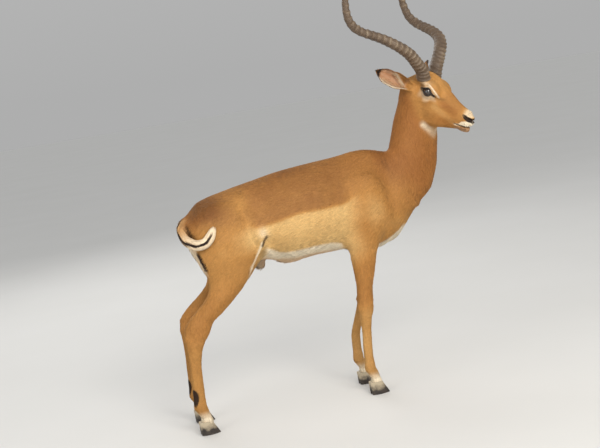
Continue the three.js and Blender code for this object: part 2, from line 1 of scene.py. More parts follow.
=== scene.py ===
import math

import bmesh
import bpy
import numpy as np
from mathutils import Matrix, Vector


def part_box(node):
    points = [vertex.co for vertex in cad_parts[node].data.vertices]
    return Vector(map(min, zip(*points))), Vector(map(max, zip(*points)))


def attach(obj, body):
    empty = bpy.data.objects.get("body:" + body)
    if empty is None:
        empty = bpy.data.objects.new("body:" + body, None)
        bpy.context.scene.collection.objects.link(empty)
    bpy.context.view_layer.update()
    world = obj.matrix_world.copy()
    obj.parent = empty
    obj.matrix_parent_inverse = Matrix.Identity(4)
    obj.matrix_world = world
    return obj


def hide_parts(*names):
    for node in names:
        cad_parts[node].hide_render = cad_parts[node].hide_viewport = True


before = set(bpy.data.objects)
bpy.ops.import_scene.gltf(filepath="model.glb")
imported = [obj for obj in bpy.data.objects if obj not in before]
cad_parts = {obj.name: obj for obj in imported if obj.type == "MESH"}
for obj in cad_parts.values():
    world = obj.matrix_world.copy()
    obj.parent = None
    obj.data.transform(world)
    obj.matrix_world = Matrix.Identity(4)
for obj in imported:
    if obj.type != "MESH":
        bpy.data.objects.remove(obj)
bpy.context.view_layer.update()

SIDES = {"left": 1.0, "right": -1.0}

# The body is drawn as smooth fields of signed distance, in the millimetres of the part's own
# design: x forward, y left, z up. ORIGIN is the design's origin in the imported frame, in metres.
HEAD_AT = np.array([666.0, -75.0, 1022.0])      # the point between the eyes
HEAD_TURN = (0, 19, -55)                        # degrees about x, then y, then z
EYE_AT = np.array([-4.0, 45.0, 10.0])           # in the head's frame; the right eye is mirrored
EYE_RADIUS = 19.5
COAT = 2.5                                      # the skin lies this far under the coat's outline
FAR = 1e9                                       # farther than any point of the model


def centre_of(node):
    low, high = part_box(node)
    return np.array((low + high) / 2)


def spin(rx, ry, rz):
    """Rows are the turned axes, after turns about X, then Y, then Z, in degrees."""
    a, b, c = (math.radians(v) for v in (rx, ry, rz))
    about_x = np.array([[1, 0, 0], [0, math.cos(a), -math.sin(a)], [0, math.sin(a), math.cos(a)]])
    about_y = np.array([[math.cos(b), 0, math.sin(b)], [0, 1, 0], [-math.sin(b), 0, math.cos(b)]])
    about_z = np.array([[math.cos(c), -math.sin(c), 0], [math.sin(c), math.cos(c), 0], [0, 0, 1]])
    return (about_z @ about_y @ about_x).T


AXES = spin(*HEAD_TURN)     # forward, left and up of the head, as rows
between_eyes = (centre_of("eye_left") + centre_of("eye_right")) / 2
ORIGIN = between_eyes - (HEAD_AT + EYE_AT * [1, 0, 1] @ AXES) / 1000


def to_head(p):
    return (p - HEAD_AT) @ AXES.T


def from_head(h):
    return np.asarray(h, float) @ AXES + HEAD_AT


# ------------------------------------------------------------------ small mathematics
def through(rows):
    """Smooth curve through rows of numbers, read by the first of each row, with no overshoot."""
    rows = np.array(rows, float)
    knots = rows[:, 0]
    steps = np.diff(rows, axis=0) / np.diff(knots)[:, None]
    before = np.vstack([steps[:1], steps])
    after = np.vstack([steps, steps[-1:]])
    total = before + after
    total[total == 0] = 1
    slopes = np.where(before * after <= 0, 0, 2 * before * after / total)

    def read(t):
        t = np.clip(t, knots[0], knots[-1])
        i = np.clip(np.searchsorted(knots, t) - 1, 0, len(knots) - 2)
        span = knots[i + 1] - knots[i]
        s = (t - knots[i]) / span
        rise = s * s * (3 - 2 * s)
        first = s * (1 - s) ** 2 * span
        second = s * s * (1 - s) * span
        return [rows[i, k] + (rows[i + 1, k] - rows[i, k]) * rise
                + first * slopes[i, k] - second * slopes[i + 1, k] for k in range(1, rows.shape[1])]
    return read


def soft_min(a, b, width):
    """The nearer of two fields, rounded where they meet."""
    h = np.maximum(width - np.abs(a - b), 0) / width
    return np.minimum(a, b) - h * h * width / 4


def carve(body, tool, width):
    """The body with the tool's shape cut out of it."""
    return -soft_min(-body, tool, width)


def ellipse(u, v, ru, rv):
    """Distance, nearly, to an ellipse."""
    reach = np.hypot(u / ru, v / rv)
    slope = np.hypot(u / (ru * ru), v / (rv * rv))
    return reach * (reach - 1) / np.maximum(slope, 1e-6)


def capped(flat, t, low, high):
    """A section's distance, closed flat at both ends of its length."""
    past = np.maximum(low - t, t - high)
    return np.where(past > 0, np.hypot(np.maximum(flat, 0), past), flat)


def smooth(low, high, t):
    """0 at low and before, 1 at high and beyond, whichever of them is the greater number."""
    t = np.clip((t - low) / (high - low), 0, 1)
    return t * t * (3 - 2 * t)


def unit(v):
    return v / np.maximum(np.linalg.norm(v, axis=-1, keepdims=True), 1e-9)


def folded(p):
    """The points brought to the left half, as most of the body is the same on both sides."""
    return np.abs(p * [0, 1, 0]) + p * [1, 0, 1]


def ball(p, at, size, turn=(0, 0, 0), side=1.0):
    """Distance, nearly, to an ellipsoid; side mirrors it in Y."""
    d = (p * [1, side, 1] - np.array(at, float)) @ spin(*turn).T
    size = np.array(size, float)
    reach = np.linalg.norm(d / size, axis=-1)
    slope = np.linalg.norm(d / size ** 2, axis=-1)
    return reach * (reach - 1) / np.maximum(slope, 1e-6)


def add_masses(f, p, masses, sides=(1.0,)):
    """The field with ellipsoids joined on: place, half sizes, turn and softness of the join."""
    for side in sides:
        for at, size, turn, join in masses:
            f = soft_min(f, ball(p, at, size, turn, side), join)
    return f


def links(p, line):
    """For each straight link of a chain: its number, the part of the way along it at the place
    nearest to each point, and the distance."""
    line = np.array(line, float)
    for n, (a, b) in enumerate(zip(line[:-1], line[1:])):
        along = b - a
        t = np.clip((p - a) @ along / (along @ along), 0, 1)
        yield n, t, np.linalg.norm(p - a - t[:, None] * along, axis=1)


def rod(p, line, radii):
    """Distance to a chain of rounded links, with a radius at each point."""
    nearest = np.full(len(p), FAR)
    for n, t, gap in links(p, line):
        nearest = np.minimum(nearest, gap - (radii[n] + (radii[n + 1] - radii[n]) * t))
    return nearest


def line_distance(p, line):
    """Distance from a chain of straight links and the part of the way along it."""
    best = np.full(len(p), FAR)
    way = np.zeros(len(p))
    for n, t, gap in links(p, line):
        way = np.where(gap < best, (n + t) / (len(line) - 1), way)
        best = np.minimum(best, gap)
    return best, way


# ------------------------------------------------------------------ sections of the body
# Trunk, rump to chest: x, top z, bottom z, half width, narrowing towards the back line
TRUNK = through([
    [-312, 722, 690, 24, 0.0], [-284, 741, 648, 66, 0.0], [-223, 790, 562, 104, 0.05],
    [-114, 814, 552, 117, 0.08], [-30, 828, 545, 120, 0.16], [70, 843, 521, 134, 0.14],
    [170, 851, 527, 139, 0.16], [280, 857, 526, 120, 0.25], [380, 862, 512, 96, 0.35],
    [450, 850, 526, 80, 0.3], [510, 800, 578, 62, 0.1], [550, 740, 640, 40, 0.0]])
TRUNK_ENDS = (-312, 550)
# Neck, chest to poll: z, centre x, centre y, half depth, half width, turn in degrees
NECK = through([
    [640, 500, 0, 72, 54, 0], [700, 530, 0, 102, 62, 0], [760, 552, 0, 104, 62, 0],
    [820, 572, 0, 97, 60, 0], [880, 588, -2, 88, 58, -8], [940, 600, -4, 79, 57, -22],
    [1000, 611, -4, 66, 53, -40], [1050, 615, 3, 50, 44, -52], [1086, 616, 12, 34, 34, -55]])
NECK_ENDS = (640, 1086)
# Head in its own frame, nape to nose: x, top z, bottom z, half width, narrowing upwards
SKULL = through([
    [-122, 22, -48, 26, 0.1], [-98, 44, -78, 41, 0.1], [-66, 66, -100, 49, 0.12],
    [-34, 72, -112, 51, 0.15], [0, 64, -117, 51, 0.2], [28, 43, -117, 47, 0.2],
    [60, 18, -113, 39, 0.1], [94, -5, -108, 31, 0.0], [124, -20, -104, 26, 0.0],
    [150, -30, -103, 23, 0.0]])
SKULL_ENDS = (-122, 150)
# Legs, ground to body: z, centre x, centre y beyond the foot, half depth, half width
LEGS = {
    "fore": through([
        [30, 287, 0, 19, 18], [56, 284, 0, 18, 17], [80, 276, 0, 20.5, 18], [104, 269, 0, 20.5, 18],
        [135, 269, 0, 18.5, 15], [220, 275, 0, 18.5, 15], [272, 280, 0, 22, 20],
        [304, 285, 0, 26, 23], [338, 289, 0, 28, 23], [380, 293, 0, 29, 25],
        [440, 300, 1, 38, 30], [500, 306, 3, 48, 36], [560, 316, 2, 60, 38], [620, 332, -4, 68, 34]]),
    "hind": through([
        [30, -340, 0, 19, 18], [56, -342, 0, 19, 17], [84, -351, 0, 22, 18], [108, -356, 0, 23, 18],
        [145, -354, 0, 21.5, 16], [230, -350, 0, 21.5, 16], [290, -343, 0, 27, 19],
        [324, -335, 0, 36, 22], [352, -325, 1, 46, 22], [384, -310, 2, 50, 24],
        [416, -273, 2, 57, 28], [454, -228, 2, 58, 34], [486, -199, 1, 64, 38],
        [528, -177, 0, 80, 44], [586, -166, -4, 104, 48], [640, -158, -14, 114, 46]]),
}
LEG_ENDS = {"fore": (42, 620), "hind": (42, 640)}
LEG_BLEND = {"fore": 30, "hind": 56}
STANCE = 80                         # from the middle plane to the middle of each foot
LEFT_AHEAD = {"fore": 10, "hind": 14}
LEFT_LEAN = {"fore": (180, 330, 40), "hind": (420, 500, 12)}    # low z, high z, further ahead
BODY_Z = 505                        # the trunk's coat begins above this height
TAIL_LINE = np.array([
    [-264, 0, 740], [-297, -14, 727], [-315, -42, 703], [-312, -76, 681], [-298, -104, 664],
    [-279, -122, 656], [-258, -132, 659], [-239, -136, 674], [-224, -138, 697]], float)
TAIL_RADII = [13, 12, 11, 10, 9, 8, 7, 6, 4]
NECK_JOIN, TAIL_JOIN, HEAD_JOIN, EAR_JOIN = 46, 18, 26, 9       # softness of each join
# Ellipsoids: place, half sizes, turn, join. Shoulder and haunch, then scrotum and sheath
BODY_MASSES = [((338, 75, 668), (68, 28, 118), (0, 16, 0), 52),
               ((-173, 66, 664), (112, 48, 112), (0, 20, 0), 40)]
MIDDLE_MASSES = [((-50, 0, 550), (23, 22, 34), (0, 0, 0), 12),
                 ((66, 0, 532), (44, 12, 13), (0, 0, 0), 14)]
# Eye socket, cheek, nape and pedicle, then muzzle and chin
SKULL_MASSES = [((4, 37, 16), (36, 17, 27), (0, 26, 0), 22),
                ((6, 26, -66), (52, 20, 42), (0, 28, 0), 22),
                ((-84, 40, 6), (22, 17, 22), (0, 0, 0), 16),
                ((-37, 37, 46), (25, 21.5, 18), (0, 20, 0), 12)]
MUZZLE_MASSES = [((142, 0, -62), (31, 21, 25), (0, 14, 0), 12),
                 ((134, 0, -98), (24, 14, 12), (0, 2, 0), 9)]


def lengthwise(section, p, low, high):
    """Distance to an egg-shaped tube along x, whose section is read from a table."""
    x, y, z = p.T
    top, bottom, half, egg = section(x)
    rise = (top - bottom) / 2
    up = np.clip((z - (top + bottom) / 2) / rise, -1, 1)
    return capped(ellipse(y, z - (top + bottom) / 2, half * (1 - egg * up), rise), x, low, high)


def leg_ahead(pair, side, z):
    low, high, lean = LEFT_LEAN[pair]
    return LEFT_AHEAD[pair] + lean * smooth(low, high, z) if side > 0 else 0 * z


def leg_place(p, pair, side):
    """The point as if its leg were a straight right-hand one: x ahead, y outwards from the foot."""
    return p * [1, side, 1] - np.stack(
        [leg_ahead(pair, side, p[:, 2]), 0 * p[:, 2] + STANCE, 0 * p[:, 2]], axis=1)


def leg_field(p, pair, side):
    q = leg_place(p, pair, side)
    x, y, z = q.T
    cx, cy, depth, width = LEGS[pair](z)
    flat = ellipse(x - cx, y - cy, depth, width)
    return capped(flat, z, *LEG_ENDS[pair])


def neck_place(p):
    """Place in the neck's turned section, along and across it, and the section's half sizes."""
    x, y, z = p.T
    cx, cy, depth, width, turn = NECK(z)
    c, s = np.cos(np.radians(turn)), np.sin(np.radians(turn))
    return c * (x - cx) + s * (y - cy), c * (y - cy) - s * (x - cx), depth, width


def neck_field(p):
    return capped(ellipse(*neck_place(p)), p[:, 2], *NECK_ENDS)


# Soft swellings (+) and hollows (-) of muscle and bone: place, reach, tilt about Y, height.
# Those of the trunk are the same on both sides.
TRUNK_SWELLS = [
    ((372, 75, 745), (20, 60, 78), 20, 1.6), ((446, 70, 740), (28, 60, 80), 15, -2.2),
    ((290, 95, 700), (15, 60, 62), 10, -3.5), ((316, 92, 640), (32, 60, 44), 0, 4.0),
    ((426, 72, 640), (24, 50, 26), 0, 5.0), ((262, 98, 560), (16, 40, 18), 0, 3.0),
    ((-50, 110, 748), (40, 60, 32), 0, -6.0), ((-70, 104, 640), (13, 60, 46), -22, 4.0),
    ((-30, 112, 612), (26, 60, 26), 0, -5.0), ((-94, 90, 796), (22, 50, 18), 0, 5.0),
    ((-96, 106, 716), (12, 60, 60), -8, -3.5), ((-226, 100, 660), (10, 60, 76), 14, -3.0),
    ((-298, 44, 735), (18, 32, 20), 0, 4.0), ((-98, 100, 590), (20, 44, 26), 0, 4.0),
    ((-152, 100, 556), (22, 44, 32), 0, -3.0), ((-190, 100, 720), (40, 60, 34), 0, 2.5),
    ((350, 0, 862), (60, 26, 20), 0, 4.0), ((533, 0, 612), (22, 60, 20), 0, 5.5),
    ((574, 0, 650), (16, 60, 14), 0, -3.0), ((546, 0, 630), (13, 60, 13), 0, 4.0),
    ((400, 0, 512), (34, 60, 16), 0, 4.0),
]
# Legs, in the straight right leg's own place: x, beyond the foot (+ outwards), z
LEG_SWELLS_END = 540                # none of them reaches above this height
LEG_SWELLS = {
    "fore": [
        ((306, 0, 314), (8, 20, 20), 0, 2.6), ((258, 0, 322), (8, 9, 13), 0, 4.5),
        ((264, 13, 210), (4, 6, 62), 0, -2.4), ((264, -13, 210), (4, 6, 62), 0, -2.4),
        ((292, 30, 430), (16, 14, 44), 0, 3.0), ((322, 26, 400), (8, 14, 50), 4, -2.0),
        ((290, 22, 286), (12, 8, 9), 0, 1.8), ((290, -22, 286), (12, 8, 9), 0, 1.8),
        ((252, 0, 92), (8, 10, 14), 0, 3.0), ((272, 16, 96), (9, 6, 12), 0, 1.6),
    ],
    "hind": [
        ((-306, 22, 424), (9, 12, 42), 30, -5.0), ((-306, -22, 424), (9, 12, 42), 30, -5.0),
        ((-352, 16, 352), (9, 8, 20), 0, -2.6), ((-352, -16, 352), (9, 8, 20), 0, -2.6),
        ((-308, 18, 348), (11, 9, 13), 0, 2.6), ((-308, -18, 348), (11, 9, 13), 0, 2.6),
        ((-366, 0, 384), (12, 14, 12), 0, 3.0), ((-359, 14, 216), (4, 6, 66), 0, -2.6),
        ((-359, -14, 216), (4, 6, 66), 0, -2.6), ((-378, 0, 96), (8, 10, 14), 0, 3.0),
        ((-352, 16, 100), (9, 6, 12), 0, 1.6), ((-232, 34, 470), (24, 14, 40), 30, 3.0),
    ],
}
HEAD_SWELLS = [
    ((38, 46, -6), (11, 12, 6), 24, -3.2), ((44, 40, -30), (26, 14, 7), 14, 2.4),
    ((-8, 52, -26), (28, 14, 7), -6, 3.0), ((-46, 56, 14), (14, 14, 16), 0, -3.5),
    ((84, 30, -50), (26, 14, 14), 0, -2.4), ((20, 40, -98), (34, 16, 8), 4, 2.2),
    ((66, 34, -84), (18, 12, 12), 0, -1.8), ((8, 0, 58), (26, 20, 16), 0, -1.6),
    ((64, 14, 6), (34, 5, 12), 24, 1.4), ((108, 24, -64), (16, 10, 14), 0, 1.6),
    ((142, 20, -74), (14, 10, 8), 0, 1.5), ((26, 26, 26), (26, 10, 16), 30, 0.6),
    ((34, 42, 8), (14, 12, 14), 20, 1.2),
]


def swell(p, rows):
    """Sum of the swells at each point."""
    total = np.zeros(len(p))
    for at, size, tilt, height in rows:
        d = (p - at) @ spin(0, tilt, 0).T / size
        total += height * np.exp(-(d * d).sum(1))
    return total


def body_field(p):
    """The whole body but the head; its finer forms are the groove and strap of the neck's muscles
    and a trace of the ribs."""
    both = SIDES.values()
    f = lengthwise(TRUNK, p, *TRUNK_ENDS)
    f = soft_min(f, neck_field(p), NECK_JOIN)
    f = add_masses(f, p, BODY_MASSES, both)
    for pair in LEGS:
        for side in both:
            f = soft_min(f, leg_field(p, pair, side), LEG_BLEND[pair])
    f = add_masses(f, p, MIDDLE_MASSES)
    f = soft_min(f, rod(p, TAIL_LINE, TAIL_RADII), TAIL_JOIN)
    f -= swell(folded(p), TRUNK_SWELLS)
    low = np.flatnonzero(p[:, 2] < LEG_SWELLS_END)
    for pair, rows in LEG_SWELLS.items():
        for side in both:
            f[low] -= swell(leg_place(p[low], pair, side), rows)
    along, across, depth, width = neck_place(p)
    angle = np.abs(np.arctan2(across / width, along / depth))
    x, _, z = p.T
    level = smooth(690, 780, z) * (1 - smooth(960, 1030, z))
    groove = np.exp(-((angle - 1.0) / 0.2) ** 2)
    strap = np.exp(-((angle - 0.55) / 0.26) ** 2)
    ribs = np.sin(0.16 * (x - 0.35 * (z - 700)))
    ribs *= smooth(60, 120, x) * (1 - smooth(250, 300, x))
    ribs *= smooth(570, 640, z) * (1 - smooth(740, 800, z))
    return f + level * (2.2 * groove - 1.6 * strap) - 0.5 * ribs


def skull_field(h):
    """The head's bony form, without eyes, ears and mouth."""
    f = add_masses(lengthwise(SKULL, h, *SKULL_ENDS), h, SKULL_MASSES, SIDES.values())
    return add_masses(f, h, MUZZLE_MASSES)


# Eye opening: its own axes are out of the head, towards the front corner, and up
EYE_OUT = unit(np.array([0.2, 0.96, 0.16]))
EYE_FORE = unit(np.cross(EYE_OUT, [0.2, 0, 1]))
EYE_UP = np.cross(EYE_FORE, EYE_OUT)
EYE_HALF, LID_TOP, LID_LOW = 17.5, 11.5, 12.5
EYE_DROOP = 1.6                     # of the front corner
MOUTH_CORNER = 104
NOSTRIL = np.array([[134, 20, -47], [143, 19, -52], [152, 15.5, -58], [165, 7, -62]], float)


def eye_place(h):
    """(towards the front corner, up, out) from the centre of the eye on the point's own side."""
    d = folded(h) - EYE_AT
    return d @ EYE_FORE, d @ EYE_UP, d @ EYE_OUT


def lid_heights(s):
    """Upper and lower edge of the eye's opening; the front corner is drawn out and lower."""
    span = np.clip(1 - (s / EYE_HALF) ** 2, 0, 1)
    droop = -EYE_DROOP * smooth(4, 17, s)
    return LID_TOP * span ** 0.75 + droop, -LID_LOW * span ** 0.85 + droop


def eye_opening(s, t):
    """Below 0 between the lids."""
    top, low = lid_heights(s)
    return np.maximum(np.maximum(t - top, low - t), np.abs(s) - EYE_HALF)


def mouth_line(x):
    """Height of the mouth's slit along the head."""
    return -83 - 0.1 * (x - MOUTH_CORNER)


def head_field(h, body):
    """The whole head's field, joined to the body's."""
    f = soft_min(body, skull_field(h), HEAD_JOIN)
    f -= swell(folded(h), HEAD_SWELLS)
    # the eye's ball under its lids, their rims and the crease above
    s, t, out = eye_place(h)
    reach = np.sqrt(s * s + t * t + out * out)
    f = soft_min(f, reach - EYE_RADIUS - 2.0, 14)
    opening = eye_opening(s, t)
    close = (out > 0) * (reach < EYE_RADIUS + 9)
    lid = np.exp(-((opening - 1.8) / 1.6) ** 2) * close
    crease = np.exp(-((opening - 6.0) / 1.3) ** 2) * close * smooth(-2, 3, t)
    f = f - 0.9 * lid + 1.0 * crease
    f = carve(f, np.maximum(np.maximum(opening, EYE_RADIUS - 1.2 - reach), -out), 1.6)
    x, y, z = h.T
    # lips, the slit between them and the nostrils
    gap = np.abs(z - mouth_line(x))
    lips = np.exp(-((gap - 4.5) / 3.2) ** 2) * smooth(100, 118, x)
    f = f - 1.3 * lips
    slit = np.maximum(gap - 0.2 - 0.045 * np.maximum(x - MOUTH_CORNER, 0), MOUTH_CORNER - x)
    f = carve(f, np.maximum(slit, -9 - f), 2.2)
    wide = folded(h)
    nostril = rod(wide, NOSTRIL, [1.2, 4.2, 5.0, 3.0])
    rim = rod(wide, [(136, 18, -42), (147, 18, -45), (158, 14, -49), (168, 6, -54)], [3, 4, 4, 3])
    f = soft_min(f, rim + 1.5, 5)
    f = carve(f, nostril, 2.0)
    groove = np.maximum(np.abs(y) - 0.7, 166 - x)
    return carve(f, np.maximum(groove, np.maximum(-2 - f, z + 62)), 1.6)


# Ears: a cupped leaf of even thickness, rolled round its base, opening forwards and outwards
EAR_LINE = np.array([[-86, 40, 10], [-101, 66, 24], [-126, 116, 44], [-152, 168, 66]], float)
EAR_OPENING = unit(np.array([0.8, 0.55, 0.12]))
EAR_HALF = through([[-0.2, 15], [0, 15.5], [0.2, 19.5], [0.48, 27.5], [0.7, 25], [0.9, 12.5], [1, 2.5]])
EAR_THICK = through([[-0.2, 3.0], [0.5, 1.7], [1, 1.3]])
EAR_U = np.linspace(-0.16, 1, 59)
EAR_ROLL = (125, 42)                # degrees of half its arc, at the base and towards the tip
EAR_SINK = 0.75                     # of its radius, from the spine to the arc's centre
EAR_MIDDLE, EAR_REACH = [-118, 100, 38], [60, 90, 60]


def spline(points, u):
    """Even-speed smooth curve through the points; u below 0 runs on before the first."""
    points = np.asarray(points, float)
    knots = np.concatenate([[0], np.cumsum(np.linalg.norm(np.diff(points, axis=0), axis=1))])
    read = through(np.column_stack([knots / knots[-1], points]))
    at = np.stack(read(np.clip(u, 0, 1)), -1)
    return at + np.minimum(u, 0)[:, None] * knots[-1] * unit(points[1] - points[0])


def frames(line, facing):
    """Unit vectors along, across and out at each point of a line."""
    along = unit(np.gradient(line, axis=0))
    across = unit(np.cross(along, facing))
    return along, across, np.cross(across, along)


def read_rows(u, knots, *tables):
    """Rows of each table at the places u between its knots."""
    return [np.stack([np.interp(u, knots, column) for column in rows.T], 1) for rows in tables]


EAR_SPINE = spline(EAR_LINE, EAR_U)
EAR_ALONG, EAR_ACROSS, EAR_FACE = frames(EAR_SPINE, EAR_OPENING)
EAR_LENGTH = np.linalg.norm(np.diff(EAR_SPINE[EAR_U >= 0], axis=0), axis=1).sum()


def ear_section(u):
    """The ear at places along it: its spine, the vectors across it and out of its hollow, half the
    roll of its cup, the cup's radius and how far the cup is set off across."""
    spine, across, face = read_rows(u, EAR_U, EAR_SPINE, EAR_ACROSS, EAR_FACE)
    base, tip = EAR_ROLL
    roll = np.radians(base + (tip - base) * np.clip(u / 0.75, 0, 1))
    radius = EAR_HALF(u)[0] / np.sin(np.minimum(roll, np.pi / 2))
    return spine, across, face, roll, radius, 3.5 * np.sin(np.pi * np.clip(u, 0, 1))


def ear_place(h):
    """Place on the nearer ear: u along it, angle round the cup, half roll, the cup's radius, the
    distance from its arc's centre and how far the point is past the tip."""
    wide = folded(h)
    heights = wide @ EAR_ALONG.T - (EAR_SPINE * EAR_ALONG).sum(1)
    best = np.abs(heights).argmin(1)
    u = EAR_U[best] + heights[np.arange(len(h)), best] / EAR_LENGTH
    past = np.maximum(u - 1, 0) * EAR_LENGTH
    u = np.clip(u, EAR_U[0], 1)
    spine, across, face, roll, radius, shift = ear_section(u)
    a = ((wide - spine) * across).sum(1) - shift
    b = ((wide - spine) * face).sum(1) - EAR_SINK * radius
    return u, np.arctan2(a, -b), roll, radius, np.hypot(a, b), past


def ear_fold(u, round_it):
    """How far round the cup a place is from the pale fold that crosses it from its upper edge."""
    return round_it + 1.02 - 2.9 * (0.59 - u)


def fold_height(u, round_it):
    """How far the fold stands out of the hollow."""
    return 2.0 * np.exp(-(ear_fold(u, round_it) / 0.16) ** 2) * smooth(0.66, 0.56, u)


def ear_field(h):
    u, angle, roll, radius, reach, past = ear_place(h)
    over = np.maximum(np.abs(angle) - roll, 0) * reach
    thick, = EAR_THICK(u)
    ripple = 0.8 * np.sin(angle * 7.0 + 0.6) * np.exp(-((u - 0.45) / 0.25) ** 2) * (np.abs(angle) < roll)
    off = np.abs(reach - radius + (ripple + fold_height(u, angle / roll)))
    return np.sqrt(off ** 2 + over ** 2 + past ** 2) - thick


HEAD_LOW = 830      # the head's field reaches down to this height


def whole_field(p):
    """Everything but the ears' thin shells."""
    f = body_field(p)
    near = np.flatnonzero(p[:, 2] > HEAD_LOW)
    if len(near):
        f[near] = head_field(to_head(p[near]), f[near])
    return f


def fine_field(p):
    """The head with its ears."""
    f = whole_field(p)
    h = to_head(p)
    near = np.flatnonzero((np.abs(folded(h) - EAR_MIDDLE) < EAR_REACH).all(1))
    if len(near):
        f[near] = soft_min(f[near], ear_field(h[near]) - COAT + 0.2, EAR_JOIN)
    return f


# ------------------------------------------------------------------ from fields to meshes
def net(field, low, high, step, coarse=4):
    """Surface of a field inside a box: one vertex in each cell that the surface crosses and one
    quad across each crossed grid edge. Only cells near the surface are read finely."""
    low = np.array(low, float)
    blocks = np.ceil((np.array(high, float) - low) / (step * coarse)).astype(int)
    grid = np.stack(np.meshgrid(*[np.arange(n) for n in blocks], indexing="ij"), -1)
    middle = low + (grid + 0.5) * step * coarse
    rough = field(middle.reshape(-1, 3)).reshape(blocks)
    values = np.repeat(np.repeat(np.repeat(rough, coarse, 0), coarse, 1), coarse, 2)
    near = np.abs(values) < step * coarse * 1.25
    where = np.argwhere(near)
    values = values.astype(np.float32)
    for part in np.array_split(where, max(1, len(where) // 400000)):
        values[tuple(part.T)] = field(low + (part + 0.5) * step)
    inside = values < 0
    cells = [slice(0, n - 1) for n in values.shape]

    def corner(a, d):
        return a[tuple(slice(o, o + c.stop) for o, c in zip(d, cells))]

    corners = [(i, j, k) for i in (0, 1) for j in (0, 1) for k in (0, 1)]
    count = sum(corner(inside, c).astype(np.int8) for c in corners)
    active = (count > 0) & (count < 8)
    index = np.full(active.shape, -1, np.int64)
    at = np.argwhere(active)
    index[tuple(at.T)] = np.arange(len(at))
    total = np.zeros((len(at), 3))
    hits = np.zeros(len(at))
    for a in corners:
        for b in corners:
            if sum(b) - sum(a) == 1 and all(v >= u for u, v in zip(a, b)):
                va = values[tuple((at + a).T)]
                vb = values[tuple((at + b).T)]
                cross = (va < 0) != (vb < 0)
                t = np.where(cross, va / np.where(cross, va - vb, 1), 0)
                total += cross[:, None] * (np.array(a) + t[:, None] * (np.array(b) - a))
                hits += cross
    points = low + (at + total / hits[:, None] + 0.5) * step
    quads = []
    for axis in range(3):
        u, v = np.eye(3, dtype=int)[(axis + 1) % 3], np.eye(3, dtype=int)[(axis + 2) % 3]
        here = inside[tuple(slice(1 if k != axis else 0, n - 1) for k, n in enumerate(inside.shape))]
        there = inside[tuple(slice(1, n - 1) if k != axis else slice(1, n)
                             for k, n in enumerate(inside.shape))]
        edge = np.argwhere(here != there)
        out = here[tuple(edge.T)]
        edge = edge + (u + v)
        ring = np.stack([index[tuple((edge - a * u - b * v).T)]
                         for a, b in ((0, 0), (1, 0), (1, 1), (0, 1))], 1)
        ring[~out] = ring[~out][:, ::-1]
        quads.append(ring)
    quads = np.concatenate(quads)
    return points, quads[(quads >= 0).all(1)]


def slope(field, p, nudge=0.4):
    """Gradient of a field at each point."""
    return np.stack([(field(p + d) - field(p - d)) / (2 * nudge) for d in np.eye(3) * nudge], 1)


def settle(field, p, limit, rounds=2):
    """Points moved onto the field's surface, each by no more than the limit in a round."""
    for _ in range(rounds):
        value = field(p)
        g = slope(field, p)
        square = np.maximum((g * g).sum(1), 0.05)
        move = -(value / square)[:, None] * g
        size = np.linalg.norm(move, axis=1, keepdims=True)
        p = p + move * np.minimum(1, limit / np.maximum(size, 1e-9))
    return p


# Above this plane through the neck the skin is finely meshed
NECK_AT = np.array([600.0, 0.0, 935.0])
NECK_NORMAL = unit(np.array([0.246, -0.315, 1.0]))
NECK_MARGIN = 2.5                   # each side of the plane, left open for the join
FINE_BOX, COARSE_BOX = ((430, -240, 850), (800, 160, 1165)), ((-400, -170, 20), (760, 170, 1110))
FINE_STEP, COARSE_STEP = ((1.7, 5.2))


def under(field):
    """The field of the skin, which lies under the coat's outline."""
    return lambda p: field(p) + COAT


def cut_net(field, box, step, side):
    """A net kept on one side of the neck's plane."""
    points, faces = net(under(field), *box, step)
    points = settle(under(field), points, step * 0.45)
    mesh = bmesh.new()
    verts = [mesh.verts.new(v) for v in points]
    for face in faces:
        mesh.faces.new([verts[i] for i in face])
    bmesh.ops.bisect_plane(mesh, geom=mesh.verts[:] + mesh.edges[:] + mesh.faces[:], dist=0.05,
                           plane_co=NECK_AT + NECK_NORMAL * NECK_MARGIN * side,
                           plane_no=NECK_NORMAL * side, clear_inner=True)
    return mesh


def show(name, data):
    """A new object of the scene that holds the data."""
    obj = bpy.data.objects.new(name, data)
    bpy.context.scene.collection.objects.link(obj)
    return obj


def place(p):
    """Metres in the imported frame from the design's millimetres."""
    return p / 1000 + ORIGIN


fine = cut_net(fine_field, FINE_BOX, FINE_STEP, 1)
coarse = cut_net(whole_field, COARSE_BOX, COARSE_STEP, -1)
joined = bpy.data.meshes.new("skin")
fine.to_mesh(joined)
coarse.from_mesh(joined)
rim = [e for e in coarse.edges if e.is_boundary
       and abs((np.array(e.verts[0].co) - NECK_AT) @ NECK_NORMAL) < NECK_MARGIN + 0.1]
bmesh.ops.bridge_loops(coarse, edges=rim)
bmesh.ops.delete(coarse, geom=[v for v in coarse.verts if not v.link_faces], context="VERTS")
bmesh.ops.triangulate(coarse, faces=[f for f in coarse.faces if len(f.verts) > 4])
bmesh.ops.recalc_face_normals(coarse, faces=coarse.faces[:])
coarse.to_mesh(joined)

co = np.zeros(len(joined.vertices) * 3)
joined.vertices.foreach_get("co", co)
skin_at = co.reshape(-1, 3)
joined.vertices.foreach_set("co", place(skin_at).ravel())
joined.polygons.foreach_set("use_smooth", np.ones(len(joined.polygons), bool))
joined.update()
skin = show("skin", joined)
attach(skin, "root")
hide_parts("trunk", "neck", "head", "tail", "ear_left", "ear_right",
            *[f"{pair}leg_{side}_{part}" for pair in LEGS for side in SIDES
              for part in ("upper", "lower")])


# ------------------------------------------------------------------ where the coat changes
# The numbers of the masks below are places in millimetres: x, y and z of the body's design, hx, hy
# and hz of the head's own frame. smooth(from, to, at) brings a marking in between two of them.
def head_weight(h):
    """From 0 on the neck to 1 on the head."""
    return smooth(-18, 18, (h - [-62, 0, -40]) @ [0.83, 0, 0.56])


